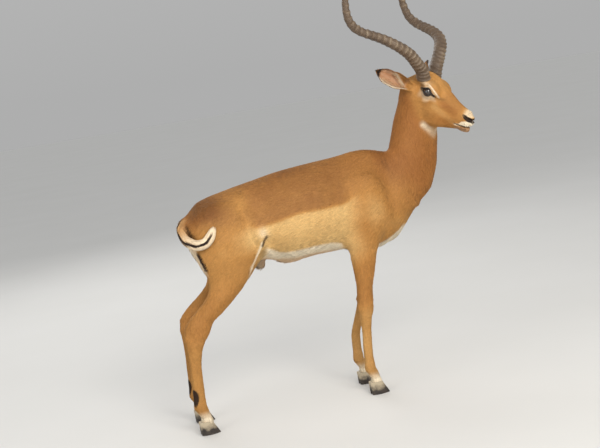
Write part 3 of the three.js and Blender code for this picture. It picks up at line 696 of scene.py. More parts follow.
def neck_side(p):
    """How far a point lies past the plane between trunk and neck."""
    return (p - [497, 0, 764]) @ [0.9, 0, 0.44]


SADDLE_LINE = through([
    [-120, 690], [-65, 676], [16, 685], [90, 699], [163, 699], [236, 700], [330, 735]])
# Top of the white band under the flank, and the depth of the band
BELLY_LINE = through([[-150, 520, 20], [-90, 560, 26], [-62, 590, 30], [-43, 597, 30], [-22, 588, 30],
                      [22, 570, 22], [76, 570, 24], [132, 573, 24], [181, 573, 26], [223, 563, 24],
                      [246, 548, 20], [300, 536, 20], [400, 534, 26], [440, 552, 30], [480, 578, 30]])
# Dark line down each buttock, pale front edge of the thigh, painted shade of the fold before it, pale brow
STRIPE = np.array([[-281, 88, 634], [-274, 93, 607], [-266, 97, 580], [-257, 94, 552]], float)
STRIPE_FORWARD = np.array([0.846, 0.459, 0.276])
THIGH_EDGE = np.array([[-56, 119, 632], [-63, 118, 611], [-89, 114, 574], [-110, 105, 538],
                       [-131, 88, 498], [-146, 80, 470]], float)
FOLD_LINE = np.array([[-38, 117, 640], [-49, 117, 628], [-57, 116, 612]], float)
BROW_LINE = np.array([[-20, 50, 42], [-6, 49, 37], [14, 51, 25], [30, 47, 9], [39, 38, -5]], float)
THROAT_LINE = np.array([[-7, 42, -113], [6, 24, -129], [18, 0, -149]], float)
CHEEK_LINE = np.array([[28, 46, -36], [66, 34, -62], [100, 24, -80]], float)
NOSE_SIDE = np.array([[52, 40, -20], [100, 27, -46]], float)
# Above the first height the head's colours count, above the second the ears'
HEAD_FROM, EARS_FROM = 850, 950
GLAND_ANGLE = 0.25                  # from straight back, towards the outside
GLAND_Z, GLAND_HALF = 137, 27       # its middle and half height
# Along the tail: part of the way, half width of its hair, and where the dark line runs across it
TAIL_SHAPE = through([[0, 10, 12], [0.1, 11.5, 12], [0.25, 13, 12.5], [0.36, 14, 12], [0.5, 16, 8.5],
                      [0.62, 17.5, 2.5], [0.8, 17.5, 0], [0.92, 16, 0], [1, 12, 0]])
TAIL_FACING = np.array([-0.3, -1, 0.15])
TAIL_LENGTH, TAIL_HAIR_END = 280, 1.07      # the hair's tip, in parts of the way
TAIL_WAY = np.linspace(0, 1, 49)
TAIL_CURVE = spline(TAIL_LINE, TAIL_WAY)
TAIL_TANGENTS = np.gradient(TAIL_CURVE, axis=0)
TAIL_MIDDLE, TAIL_REACH = [-268, -70, 705], [90, 110, 90]


def spot(p, at, size):
    """1 at a place, fading smoothly over the reach in each direction."""
    return np.exp(-(((p - at) / size) ** 2).sum(1))


def ends(way, low, high, fade=0.12):
    """1 between two places along a line, fading to 0 at both."""
    return smooth(low, low + fade, way) * (1 - smooth(high - fade, high, way))


def tail_frame(way):
    """Centre of the tail, and unit vectors along it, across it and out of its dark side."""
    along, centre = read_rows(way, TAIL_WAY, TAIL_TANGENTS, TAIL_CURVE)
    along = unit(along)
    centre = centre + np.maximum(way - 1, 0)[:, None] * TAIL_LENGTH * along
    across = unit(np.cross(along, TAIL_FACING))
    return centre, along, across, np.cross(across, along)


def tail_colours(way, across, facing):
    """Whiteness and the dark line at a place across the tail, in millimetres from its centre."""
    _, at = TAIL_SHAPE(way)
    line = smooth(5.2, 3.4, np.abs(across - at)) * ends(way, 0.06, 0.97, 0.08) * smooth(-3, 1, facing)
    white = 0.1 + 0.66 * smooth(0.28, 0.68, way)
    return np.maximum(white, 0.72 * smooth(3, 7, across - at)) * (1 - 0.6 * line), line


def body_tones(p, wide, zones):
    """Tone from the pale flank, 0, through tan, 0.5, to the dark saddle, 1, with painted highlights; redness;
    painted shade.
    """
    x, _, z = p.T
    head, neck, leg, shin, haunch, shoulder, trunk = zones
    above = smooth(-12, 12, z - SADDLE_LINE(x)[0])
    # the saddle's own tone, darkened further towards the top of the back as painted shade
    tone = 0.1 + 0.72 * above + 0.1 * smooth(760, 830, z)
    # on the haunch the croup is painted darker as shade, and two lighter patches are painted highlights
    rear = 0.54 + 0.26 * smooth(680, 760, z) + 0.3 * smooth(-150, -230, x) * smooth(690, 760, z)
    rear -= 0.45 * spot(wide, (-84, 125, 645), (44, 60, 44)) + 0.3 * spot(wide, (-110, 95, 760), (40, 60, 34))
    # on the shoulder the lighter patch is a painted highlight
    front = 0.5 + 0.34 * smooth(700, 830, z) - 0.26 * spot(wide, (362, 100, 655), (40, 80, 48))
    front += 0.18 * smooth(385, 440, x) * smooth(590, 660, z)
    tone = tone + (rear - tone) * haunch
    tone = tone + (front - tone) * shoulder
    tone = tone + (0.56 - (0.16 - 0.14 * haunch) * shin - tone) * leg
    tone = tone + (0.9 - tone) * neck
    tone = tone + (0.52 - tone) * head
    rufous = 0.2 * leg * (1 - shin) + 0.3 * neck + 0.12 * head + 0.12 * shoulder * trunk
    rufous += 0.3 * head * spot(folded(to_head(p)), (60, 30, -84), (50, 40, 22))
    rufous += 0.35 * spot(wide, (-290, 60, 720), (34, 40, 44))
    # painted shade: darker on the croup and at the back of the neck's base
    dark = 0.24 * smooth(-110, -250, x) * smooth(690, 790, z) * trunk
    dark += 0.1 * neck * smooth(760, 820, z) * smooth(500, 440, x)
    return tone, rufous, dark


def body_marks(p, wide, normal, zones):
    """White, black and pink of the trunk and legs, then the belly's band and the distance from the
    nearest dark line."""
    x, y, z = p.T
    head, neck = zones[:2]
    # the white band of the belly, painted less white and pinker beneath it as shade and warm light reflected
    # from below, rump and pasterns
    top, deep = BELLY_LINE(x)
    level = z - top
    under = (1 - smooth(-5, 6, level)) * smooth(492, 506, z) * smooth(-62, -34, x)
    under *= 1 - smooth(480, 505, x)
    under *= 1 - smooth(222, 250, x) * smooth(44, 62, np.abs(y)) * (1 - smooth(392, 412, x))
    # beneath the band: painted shade and reflected warm light
    lower = smooth(-0.8, -1.5, level / deep)
    belly = under * (1 - 0.5 * lower)
    inner = smooth(0.35, 0.75, -normal[:, 1] * np.sign(y))
    inside = inner * smooth(470, 520, z) * (1 - smooth(560, 600, z)) * (1 - neck) * (1 - head)
    stripe, way = line_distance(wide, STRIPE)
    behind = smooth(2, -4, (wide - STRIPE[1]) @ STRIPE_FORWARD)
    rump = behind * smooth(530, 560, z) * smooth(-225, -245, x) * (1 - smooth(640, 668, z))
    rump *= 0.55 + 0.4 * smooth(84, 50, np.abs(y))
    top_spot = spot(wide, (-283, 86, 645), (7, 12, 6))
    pastern = (1 - smooth(62, 88, z)) * 0.7
    edge, edge_way = line_distance(wide, THIGH_EDGE)
    edge = smooth(7, 3, edge) * ends(edge_way, 0.0, 1.0)
    fold = 0.5 * spot(wide, (-50, 120, 655), (17, 40, 17))
    white = np.maximum.reduce([0.92 * belly, 0.25 * inside, rump, pastern, 0.7 * edge, fold,
                               0.8 * top_spot])
    black = smooth(9.5, 5.5, stripe) * ends(way, 0.02, 1.0, 0.16)
    # painted shade along the fold before the thigh
    fold_line, _ = line_distance(wide, FOLD_LINE)
    black = np.maximum(black, 0.8 * smooth(7.5, 3, fold_line))
    sac = smooth(1.25, 0.95, np.sqrt((((p - [-50, 0, 546]) / [27, 27, 38]) ** 2).sum(1)))
    black = np.maximum(black, 0.46 * sac)
    # painted shadow in the hollow before the thigh, which also dims the white there
    hollow = spot(wide, (-58, 96, 585), (16, 26, 20)) * (1 - edge)
    black = np.maximum(black, 0.45 * hollow)
    white = np.maximum(white * (1 - 0.7 * hollow), 0.6 * sac)
    # the pink beneath the band is painted reflected warm light
    pink = 0.15 * sac + 0.3 * under * lower
    # painted shade in the creases where the neck meets the shoulder
    crease = spot(wide, (441, 30, 806), (4.5, 30, 26)) + 0.8 * spot(wide, (454, 36, 800), (4, 30, 28))
    black = np.maximum(black, 0.38 * crease)
    # dark glands above the hind fetlocks
    cx, cy, depth, width = LEGS["hind"](z)
    for side in SIDES.values():
        q = leg_place(p, "hind", side)
        angle = np.arctan2((q[:, 1] - cy) / width, -(q[:, 0] - cx) / depth)
        gland = smooth(1.15, 0.85, np.hypot((z - GLAND_Z) / GLAND_HALF, (angle - GLAND_ANGLE) / 1.1))
        gland *= (y * side > 0) * (x < -200)
        black = np.maximum(black, gland)
    return white, black, pink, under, np.minimum(stripe, fold_line)


def head_coat(coat, p, h, head):
    """Brings in the head's colours: rings round the eyes, lips, chin, throat and nose, with painted
    highlights and shade.
    """
    z = p[:, 2]
    face = folded(h)
    hx, hy, hz = face.T
    s, t, out = eye_place(h)
    opening = eye_opening(s, t)
    reach = np.sqrt(s * s + t * t + out * out)
    facing = smooth(-4, 4, out)
    brow, way = line_distance(face, BROW_LINE)
    brow = smooth(3.8, 1.4, brow) * (0.55 + 0.35 * smooth(0.05, 0.4, way))
    ring = smooth(13, 8, opening - 0.12 * s) * facing * (reach < EYE_RADIUS + 14)
    ring *= 0.5 * (1 - 0.55 * smooth(-4, 10, s) * smooth(-6, 4, t))
    under_eye = 0.55 * smooth(34, 12, opening + 0.15 * s) * smooth(4, -10, t + 0.35 * s)
    under_eye *= smooth(-14, -2, out)
    under_eye *= smooth(-44, -30, s) * smooth(52, 38, s)
    pale = np.maximum.reduce([brow, ring, under_eye * (reach < 70),
                              0.5 * spot(face, (-16, 52, 36), (16, 20, 9))])
    lip_top = np.interp(hx, [100, 122, 133, 150], [-82, -79, -69, -64])
    lips = smooth(2, -3, hz - lip_top) * smooth(-90, -86, hz) * smooth(98, 108, hx)
    chin = smooth(-88, -94, hz) * smooth(96, 116, hx)
    throat, way = line_distance(face, THROAT_LINE)
    throat = smooth(23, 2, throat) * (0.95 - 0.3 * way)
    # the last of these, the pale top of the nose, is a painted highlight
    white_head = np.maximum.reduce([0.95 * pale, lips, 0.25 * chin, 0.85 * throat,
                                    0.6 * smooth(128, 146, hx) * smooth(-54, -46, hz)])
    cheek = smooth(18, 4, line_distance(face, CHEEK_LINE)[0])
    nose_side = smooth(20, 4, line_distance(face, NOSE_SIDE)[0])
    # lighter on the top of the nose and on the forehead: painted highlights
    tone = coat["tone"] - 0.4 * head * smooth(120, 146, hx) * smooth(-58, -48, hz)
    tone = tone - 0.06 * head * spot(face, (10, 30, 50), (40, 26, 26))
    # the nose's side: redder, and painted darker as shade beside the lit ridge of the nose
    tone = tone + head * (0.18 * nose_side - 0.14 * cheek)
    tone = tone + 0.12 * head * smooth(46, 64, hx) * smooth(130, 116, hx) * smooth(-44, -30, hz)
    coat["tone"] = tone
    coat["rufous"] = coat["rufous"] + 0.15 * head * nose_side
    rim = smooth(4.2, 2.2, opening - 1.8 * smooth(2, -6, t)) * facing
    rim *= smooth(EYE_RADIUS + 8, EYE_RADIUS + 4, reach)
    canthus = smooth(6, 3, np.hypot((s - 24) * 0.42, t + 5.5 + 0.2 * (s - 24))) * smooth(-8, 0, out)
    behind = smooth(-24, -14, out)
    # dark skin at the eye's rear corner, with painted shade there and in the lid's crease above it
    corner = 0.85 * smooth(1.2, 0.6, np.hypot((s + 24) / 15, (t + 3 + 0.1 * s) / 8.5)) * behind
    corner = np.maximum(corner, 0.36 * smooth(1.3, 0.5, np.hypot((s + 31) / 12, (t - 9) / 10)) * behind)
    nostril, way = line_distance(face, NOSTRIL)
    size = np.interp(way, [0, 0.3, 0.8, 1], [3.2, 7.0, 8.0, 6.5])
    nostril = smooth(2.0, -0.6, nostril - size)
    pad = smooth(160, 168, hx) * smooth(-74, -68, hz) * smooth(-50, -55, hz) * smooth(13, 9, hy)
    gap = np.abs(hz - mouth_line(hx))
    mouth = smooth(3.4, 1.6, gap) * smooth(106, 116, hx)
    # painted shade in the hollow in front of the eye
    tear_shade = 0.45 * spot(face, (46, 40, -8), (16, 20, 5))
    # the chin's darkening is partly dark lip and partly painted shade under the jaw
    dark_head = np.maximum.reduce([rim, canthus, corner, nostril, pad, 0.9 * mouth, tear_shade, 0.34 * chin])
    high = z > HEAD_FROM
    white, black = coat["white"], coat["black"]
    pale_part = white_head * np.maximum(head, throat)
    coat["white"] = np.where(high, np.maximum(white * (1 - head), pale_part), white)
    coat["black"] = np.where(high, np.maximum(black * (1 - head), dark_head * head), black)
    coat["pink"] = np.where(high, 0.3 * chin, coat["pink"])
    coat["bare"] = np.clip(np.maximum.reduce([rim, pad, mouth, nostril]) * head, 0, 1)


def ear_coat(coat, p, h):
    """Brings in the ears, where the coat changes over a few millimetres."""
    near = np.flatnonzero((p[:, 2] > EARS_FROM) & (np.abs(np.abs(h[:, 1]) - 105) < 90) & (h[:, 0] < -70))
    if not len(near):
        return
    tone, white, black, pink = (coat[key] for key in ("tone", "white", "black", "pink"))
    lie, length, width, lift = (coat[key] for key in ("lie", "length", "width", "lift"))
    u, angle, roll, radius, reach, _ = ear_place(h[near])
    round_it = angle / roll
    ear = smooth(7, 4, np.abs(reach - radius)) * smooth(0.08, 0.2, u)
    ear *= smooth(1.25, 1.05, np.abs(round_it))
    concha = ear * smooth(0.3, -0.3, reach - radius + fold_height(u, round_it))
    margin = smooth(0.74, 0.95, np.abs(round_it))
    lower_rim = margin * smooth(0.2, 0.6, round_it)
    tip = smooth(0.84, 0.9, u) * ear
    ridges = 0.5 + 0.5 * np.sin(9 * round_it + 2 * u)
    black[near] = np.maximum(black[near] * (1 - ear), tip)
    black[near] = np.maximum(black[near], ear * (0.35 + 0.35 * smooth(0.5, 0.85, u))
                             * margin * smooth(-0.2, -0.6, round_it))
    black[near] = np.maximum(black[near], 0.3 * concha * smooth(0.35, 0.1, u))
    past_fold = ear_fold(u, round_it)
    hood = concha * smooth(-0.04, -0.22, past_fold) * smooth(0.66, 0.58, u)
    fold_edge = concha * np.exp(-(past_fold / 0.15) ** 2) * smooth(0.64, 0.52, u) * (1 - margin * 0.4)
    shadow = concha * np.exp(-((past_fold - 0.42) / 0.2) ** 2)
    shadow *= smooth(0.62, 0.5, u) * smooth(0.1, 0.25, u)
    concha = concha * (1 - hood)
    black[near] = np.maximum(black[near], np.maximum(0.46 * shadow, 0.16 * concha))
    white[near] = white[near] * (1 - ear) + concha * (0.12 + 0.3 * ridges * (1 - margin)
                                                     + 0.75 * lower_rim) * (1 - tip)
    white[near] = np.maximum(white[near], 0.7 * fold_edge)
    pink[near] = concha * (1 - lower_rim) * (1 - tip) * (1 - fold_edge) * 0.6
    tone[near] = tone[near] * (1 - ear) + 0.75 * ear
    side = np.where(h[near, 1] > 0, 1.0, -1.0)
    best = np.clip(np.searchsorted(EAR_U, u), 0, len(EAR_U) - 1)
    along = EAR_ALONG[best] * np.stack([np.ones(len(near)), side, np.ones(len(near))], 1)
    lie[near] = lie[near] * (1 - ear)[:, None] + (ear * 4)[:, None] * (along @ AXES)
    length[near] *= 1 - 0.25 * ear
    length[near] += 3 * concha * (1 - margin) * (1 - smooth(0.7, 0.85, u))
    length[near] *= 1 - 0.35 * smooth(0.8, 0.95, u) * ear
    width[near] *= 1 - 0.3 * ear
    length[near] *= 1 - 0.35 * margin * ear
    lift[near] *= 1 - (0.5 + 0.35 * margin) * ear


def tail_coat(coat, p):
    """Brings in the tail and the painted shadow that it casts on the flank beside it."""
    gap = np.full(len(p), FAR)
    way = np.zeros(len(p))
    close = np.flatnonzero((np.abs(p - TAIL_MIDDLE) < TAIL_REACH).all(1))
    gap[close], way[close] = line_distance(p[close], TAIL_CURVE)
    tail = smooth(24, 15, gap) * smooth(0.08, 0.2, way)
    centre, along, outer, front_on = tail_frame(way)
    across = ((p - centre) * outer).sum(1)
    white, line = tail_colours(way, across, ((p - centre) * front_on).sum(1))
    # painted shadow of the tail on the buttock beside it
    tail_shadow = smooth(9, 3, np.abs(gap - 25)) * smooth(0, -8, across) * ends(way, 0.22, 0.62, 0.1)
    tail_shadow *= 1 - tail
    coat["black"] = np.maximum(coat["black"], 0.75 * tail_shadow) * (1 - tail) + line * tail
    coat["white"] = coat["white"] * (1 - tail) + white * tail
    coat["tone"] = coat["tone"] + (0.55 - coat["tone"]) * tail
    coat["lie"] += (tail * 5)[:, None] * along


COLOURS = ("tone", "rufous", "white", "black", "pink")


def coat_of(p, normal):
    """What the coat is like at points of the skin: its colours, lie, length and width."""
    x, y, z = p.T
    wide = folded(p)
    h = to_head(p)
    head = head_weight(h)
    neck = smooth(-70, 60, neck_side(p)) * (1 - head)
    leg = 1 - smooth(430, 560, z)
    shin = 1 - smooth(280, 360, z)
    haunch = smooth(-55, -100, x)
    shoulder = smooth(235, 330, x)
    trunk = (1 - head) * (1 - neck)
    zones = head, neck, leg, shin, haunch, shoulder, trunk
    tone, rufous, dark = body_tones(p, wide, zones)
    white, black, pink, under, line_gap = body_marks(p, wide, normal, zones)
    coat = {"tone": tone, "rufous": rufous, "white": white, "black": black, "pink": pink}
    head_coat(coat, p, h, head)

    # how the hair lies, in the order trunk, neck, legs, head
    back = -np.ones(len(p))
    lie = trunk[:, None] * np.stack([back, 0 * y, -0.3 - 0.5 * haunch - 0.35 * shoulder], 1)
    lie += (neck * 1.4)[:, None] * [-0.12, 0, -1.0]
    lie += (leg * 4)[:, None] * [-0.1, 0, -1.0]
    head_lie = np.stack([back, 0 * y, -0.25 + 0.5 * smooth(0, 40, h[:, 2])], 1)
    lie += (head * 3)[:, None] * (head_lie @ AXES)

    length = 17 - 8.5 * shin - 2.5 * neck
    length = length + (6.2 - length) * head
    length += 7 * under * smooth(-0.2, -0.8, normal[:, 2])
    width = 2.1 - 0.75 * shin - 0.35 * neck
    width = width + (1.15 - width) * head
    muzzle = smooth(70, 130, h[:, 0]) * head
    length *= 1 - 0.5 * smooth(17, 8, line_gap)
    length *= 1 - 0.35 * muzzle
    length *= 1 - 0.45 * spot(wide, (552, 0, 634), (32, 80, 26))
    width *= 1 - 0.15 * muzzle
    coat.update(lie=lie, length=length, width=width, lift=np.full(len(p), 0.09))
    ear_coat(coat, p, h)
    tail_coat(coat, p)

    lie -= (lie * normal).sum(1, keepdims=True) * normal
    lie /= np.maximum(np.linalg.norm(lie, axis=1, keepdims=True), 1e-6)
    # the painted shade of the croup and the neck's base darkens the coat
    coat["black"] = coat["black"] + dark
    for key in COLOURS:
        coat[key] = np.clip(coat[key], 0, 1)
    return coat


# ------------------------------------------------------------------ materials
def new_material(name):
    material = bpy.data.materials.new(name)
    material.use_nodes = True
    return material, material.node_tree


def node(tree, kind, inputs=None, **values):
    """A new node with its own settings, and each input linked to a socket or set to a value."""
    made = tree.nodes.new(kind)
    for key, value in values.items():
        setattr(made, key, value)
    for key, value in (inputs or {}).items():
        if isinstance(value, bpy.types.NodeSocket):
            tree.links.new(value, made.inputs[key])
        else:
            made.inputs[key].default_value = value
    return made


def colour(r, g, b):
    """Linear colour from 0-255 display values."""
    c = np.array([r, g, b]) / 255
    c = np.where(c <= 0.04045, c / 12.92, ((c + 0.055) / 1.055) ** 2.4)
    return (*c.tolist(), 1.0)


def mix(tree, factor, a, b, kind="MIX"):
    return node(tree, "ShaderNodeMix", {0: factor, 6: a, 7: b}, data_type="RGBA", blend_type=kind).outputs[2]


def value_of(tree, kind, a, b=0.0, c=0.0, clamp=False):
    return node(tree, "ShaderNodeMath", {0: a, 1: b, 2: c}, operation=kind, use_clamp=clamp).outputs[0]


def attribute(tree, name, output="Fac"):
    return node(tree, "ShaderNodeAttribute", attribute_name=name).outputs[output]


def object_place(tree):
    return node(tree, "ShaderNodeTexCoord").outputs["Object"]


def noise(tree, where, scale, detail, roughness=0.5):
    return node(tree, "ShaderNodeTexNoise", {"Vector": where, "Scale": scale, "Detail": detail,
                                             "Roughness": roughness}).outputs[0]


def ramp(tree, factor, *stops):
    """Colour by a factor, through stops of (position, colour)."""
    made = node(tree, "ShaderNodeValToRGB", {0: factor})
    elements = made.color_ramp.elements
    for element, (position, shade) in zip(elements, (stops[0], stops[-1])):
        element.position, element.color = position, shade
    for position, shade in stops[1:-1]:
        elements.new(position).color = shade
    return made.outputs[0]


def dress(tree, base, settings, bump=None):
    """Gives the material's shader its colour, its constants and a bump of (height, strength, depth)."""
    shader = tree.nodes["Principled BSDF"]
    tree.links.new(base, shader.inputs["Base Color"])
    for key, value in settings.items():
        shader.inputs[key].default_value = value
    if bump:
        height, strength, depth = bump
        made = node(tree, "ShaderNodeBump", {"Height": height, "Strength": strength, "Distance": depth})
        tree.links.new(made.outputs[0], shader.inputs["Normal"])


PALE_FLANK, TAN, SADDLE = colour(220, 184, 124), colour(186, 136, 74), colour(140, 92, 48)
RUFOUS, WHITE = colour(170, 104, 44), colour(242, 228, 202)
BLACK, PINK = colour(36, 23, 17), colour(206, 148, 112)


def coat_material():
    material, tree = new_material("coat")
    tint = node(tree, "ShaderNodeSeparateColor", {0: attribute(tree, "tint", "Color")})
    mark = node(tree, "ShaderNodeSeparateColor", {0: attribute(tree, "mark", "Color")})
    tone, rufous, white = tint.outputs
    black, pink, shade = mark.outputs
    where = object_place(tree)
    patches = noise(tree, where, 9.0, 3.0)
    flecks = noise(tree, where, 150.0, 4.0, 0.7)
    tone = value_of(tree, "MULTIPLY_ADD", value_of(tree, "SUBTRACT", patches, 0.5), 0.35, tone)
    base = ramp(tree, tone, (0, PALE_FLANK), (0.5, TAN), (1, SADDLE))
    for part, shown in ((rufous, RUFOUS), (white, WHITE), (pink, PINK), (black, BLACK)):
        base = mix(tree, part, base, shown)
    fleck = value_of(tree, "MULTIPLY_ADD", value_of(tree, "SUBTRACT", flecks, 0.5), 0.5, 1.0)
    light = value_of(tree, "MULTIPLY", fleck, value_of(tree, "MULTIPLY_ADD", shade, 0.5, 0.74))
    grey = node(tree, "ShaderNodeCombineColor", {0: light, 1: light, 2: light}).outputs[0]
    dress(tree, mix(tree, 1.0, base, grey, "MULTIPLY"),
          {"Roughness": 0.62, "Specular IOR Level": 0.25, "Sheen Weight": 0.08,
           "Sheen Roughness": 0.4, "Sheen Tint": (1.0, 0.86, 0.62, 1.0)}, (flecks, 0.25, 0.002))
    return material


COAT_MATERIAL = coat_material()


def paint(mesh, coat, shade, copies=1):
    """Stores the coat's colours on a mesh's vertices, each row of the coat on a few vertices in
    turn; shade is each vertex's own lightness."""
    tone, rufous, white, black, pink = (np.repeat(coat[key], copies) for key in COLOURS)
    for name, channels in (("tint", (tone, rufous, white)), ("mark", (black, pink, shade))):
        data = mesh.attributes.new(name, "FLOAT_COLOR", "POINT")
        rows = np.ones((len(mesh.vertices), 4), np.float32)
        rows[:, :3] = np.stack(channels, 1)
        data.data.foreach_set("color", rows.ravel())


# ------------------------------------------------------------------ the skin's colours
joined.calc_loop_triangles()
tris = np.zeros(len(joined.loop_triangles) * 3, np.int32)
joined.loop_triangles.foreach_get("vertices", tris)
tris = tris.reshape(-1, 3)


def vertex_normals(points, tris):
    """Each vertex's normal, and each triangle's area."""
    cross = np.cross(points[tris[:, 1]] - points[tris[:, 0]], points[tris[:, 2]] - points[tris[:, 0]])
    total = np.zeros_like(points)
    for k in range(3):
        np.add.at(total, tris[:, k], cross)
    return unit(total), np.linalg.norm(cross, axis=1) / 2


skin_normal, tri_area = vertex_normals(skin_at, tris)
skin_coat = coat_of(skin_at, skin_normal)
# painted shade: the skin between the tufts is darker, as the coat shades it
SKIN_SHADE = 0.35                   # the skin is darker than the tufts over it
paint(joined, skin_coat, np.full(len(skin_at), SKIN_SHADE))
joined.materials.append(COAT_MATERIAL)


# ------------------------------------------------------------------ tufts
rng = np.random.default_rng(7)


def scatter(weight):
    """Random points on the skin, weight of them on each triangle: their place and normal."""
    total = np.cumsum(weight)
    count = int(total[-1])
    pick = (np.arange(count) + rng.random(count)) * total[-1] / count
    tri = tris[np.clip(np.searchsorted(total, pick), 0, len(tris) - 1)]
    a, b = np.sqrt(rng.random(count)), rng.random(count)
    share = np.stack([1 - a, a * (1 - b), a * b], 1)[:, :, None]
    normal = (skin_normal[tri] * share).sum(1)
    return (skin_at[tri] * share).sum(1), normal / np.linalg.norm(normal, axis=1, keepdims=True)


def mesh_of(name, points, faces, normals=None):
    """A new object from design points and faces of equal size, with custom normals if given."""
    mesh = bpy.data.meshes.new(name)
    mesh.vertices.add(len(points))
    mesh.vertices.foreach_set("co", place(points).astype(np.float32).ravel())
    corners = faces.shape[1]
    mesh.loops.add(faces.size)
    mesh.loops.foreach_set("vertex_index", faces.astype(np.int32).ravel())
    mesh.polygons.add(len(faces))
    mesh.polygons.foreach_set("loop_start", np.arange(0, faces.size, corners, dtype=np.int32))
    mesh.polygons.foreach_set("use_smooth", np.ones(len(faces), bool))
    mesh.update(calc_edges=True)
    mesh.validate()
    if normals is not None:
        mesh.normals_split_custom_set_from_vertices(normals.astype(np.float32))
    return show(name, mesh)


def finish_piece(obj, material):
    obj.data.materials.append(material)
    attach(obj, "root")
    return obj


BLADE_FACES = [[0, 2, 1], [0, 3, 2], [1, 2, 3], [0, 1, 3]]
BLADE_SPOTS = np.array([[-1, 0], [1, 0], [0, 0.8], [0, 2.0]]) * 0.00075


def all_faces(faces, corners, count):
    """The faces of many like strands, each with so many corners, from those of one."""
    return (np.array(faces)[None] + corners * np.arange(count)[:, None, None]).reshape(-1, 3)


def hair_piece(name, points, faces, normals, coat, shade, chart, spots):
    """A piece of coat: rows are strands, points (strand, corner), faces and spots those of one
    strand, shade (strand, corner). Spots are its corners' places on the map, round its chart's."""
    count, corners = points.shape[:2]
    obj = mesh_of(name, points.reshape(-1, 3), all_faces(faces, corners, count),
                  np.repeat(normals, corners, 0))
    paint(obj.data, coat, shade.ravel(), corners)
    uv = obj.data.uv_layers.new(name="OFBake")
    at = (chart[:, None] + spots[None]).reshape(-1, 2)
    loops = np.zeros(len(obj.data.loops), np.int32)
    obj.data.loops.foreach_get("vertex_index", loops)
    uv.data.foreach_set("uv", at[loops].astype(np.float32).ravel())
    return finish_piece(obj, COAT_MATERIAL)


def blades(name, root, normal, coat, chart):
    """A piece of coat: one closed blade of four faces at each root, lying along the coat."""
    count = len(root)
    d = coat["lie"]
    side = np.cross(normal, d)
    turn = rng.normal(0, 0.16, count)[:, None]
    d = d * np.cos(turn) + side * np.sin(turn)
    side = np.cross(normal, d)
    length = (coat["length"] * rng.uniform(0.72, 1.2, count))[:, None]
    width = (coat["width"] * rng.uniform(0.7, 1.25, count))[:, None]
    lift = (coat["lift"] * coat["length"] * rng.uniform(0.3, 1.3, count))[:, None]
    left = root - normal * 0.5 - side * width / 2
    right = root - normal * 0.5 + side * width / 2
    keel = root + d * length * 0.4 + normal * (0.42 * width + 0.5 * lift)
    tip = root + d * length + normal * (lift + 0.2)
    points = np.stack([left, right, keel, tip], 1)
    tilt = normal + 0.22 * rng.normal(0, 1, (count, 1)) * side + 0.1 * rng.normal(0, 1, (count, 1)) * d
    # each tuft's own random lightness, darker at its root as painted shade within the coat and lighter at its
    # tip
    shade = np.clip(rng.normal(0.5, 0.15, count), 0.1, 0.95)[:, None] + [[-0.24, -0.24, 0.0, 0.2]]
    hair_piece(name, points, BLADE_FACES, unit(tilt), coat, shade, chart, BLADE_SPOTS)


def around(a, b):
    """Part of a full turn."""
    return np.arctan2(a, b) / (2 * np.pi) + 0.5


REGION_NAMES = ["trunk", "hind_legs", "fore_legs", "neck", "head"]
NECK_FROM = 560                     # the neck's coat begins above this height
CHART_EDGE = 0.004                  # left free along the sides of the map


def chart_of(p):
    """Region of the body, by its place in REGION_NAMES, and place on an unwrap of that region, as
    a tube opened along a seam."""
    h = to_head(p)
    x, y, z = p.T
    region = np.where(z < BODY_Z, 1, 0)
    region[(region == 1) & (x > 0)] = 2
    region[(neck_side(p) > 0) & (z > NECK_FROM)] = 3
    region[head_weight(h) > 0.5] = 4
    uv = np.zeros((len(p), 2))
    leg_x = np.where(x > 0, LEGS["fore"](z)[0], LEGS["hind"](z)[0])
    leg_x += np.where(y > 0, LEFT_AHEAD["fore"], 0)
    leg = z / 520, np.where(y > 0, 0.5, 0.0) + 0.5 * around(np.abs(y) - STANCE, x - leg_x)
    neck_x, neck_y = NECK(z)[:2]
    charts = [((x + 400) / 1000, around(y, 690 - z)), leg, leg,
              ((z - NECK_FROM) / 540, around(y - neck_y, x - neck_x)),
              ((h[:, 0] + 200) / 390, around(h[:, 1], h[:, 2] + 40))]
    for n, chart in enumerate(charts):
        here = region == n
        uv[here] = np.stack(chart, 1)[here]
    return region, np.clip(uv, CHART_EDGE, 1 - CHART_EDGE)


LARGEST = 48000                     # tufts in a piece
FILL = 1.8   # how many times over the tufts cover the skin
TUFTS_FROM = 44                     # the hooves' tops hide the skin below this height
length, width, bare = (skin_coat[key][tris].mean(1) for key in ("length", "width", "bare"))
weight = tri_area * FILL / (0.5 * length * width) * (1 - bare)
weight[skin_at[tris][:, :, 2].min(1) < TUFTS_FROM] = 0
root, normal = scatter(weight)
coat = coat_of(root, normal)
keep = rng.random(len(root)) > coat["bare"] * 1.5
root, normal = root[keep], normal[keep]
coat = {key: value[keep] for key, value in coat.items()}
# a tuft has the colours of the skin under its middle
halfway = coat_of(root + coat["lie"] * (coat["length"] * 0.5)[:, None], normal)
coat.update({key: halfway[key] for key in COLOURS})
region, chart = chart_of(root)
for n, name in enumerate(REGION_NAMES):
    here = np.flatnonzero(region == n)
    here = here[np.argsort(root[here, 0 if name in ("trunk", "head") else 2])]
    for k, some in enumerate(np.array_split(here, math.ceil(len(here) / LARGEST))):
        piece = {key: value[some] for key, value in coat.items()}
        blades(f"coat_{name}_{k + 1}", root[some], normal[some], piece, chart[some])


# ------------------------------------------------------------------ tubes for horns, lids, eyes and hooves
def tube_quads(rows, sides):
    """Faces between the rows of a tube's points."""
    row = np.arange(sides)
    after = (row + 1) % sides
    return np.concatenate([np.stack([row + a, row + a + sides, after + a + sides, after + a], 1)
                           for a in range(0, (rows - 1) * sides, sides)])


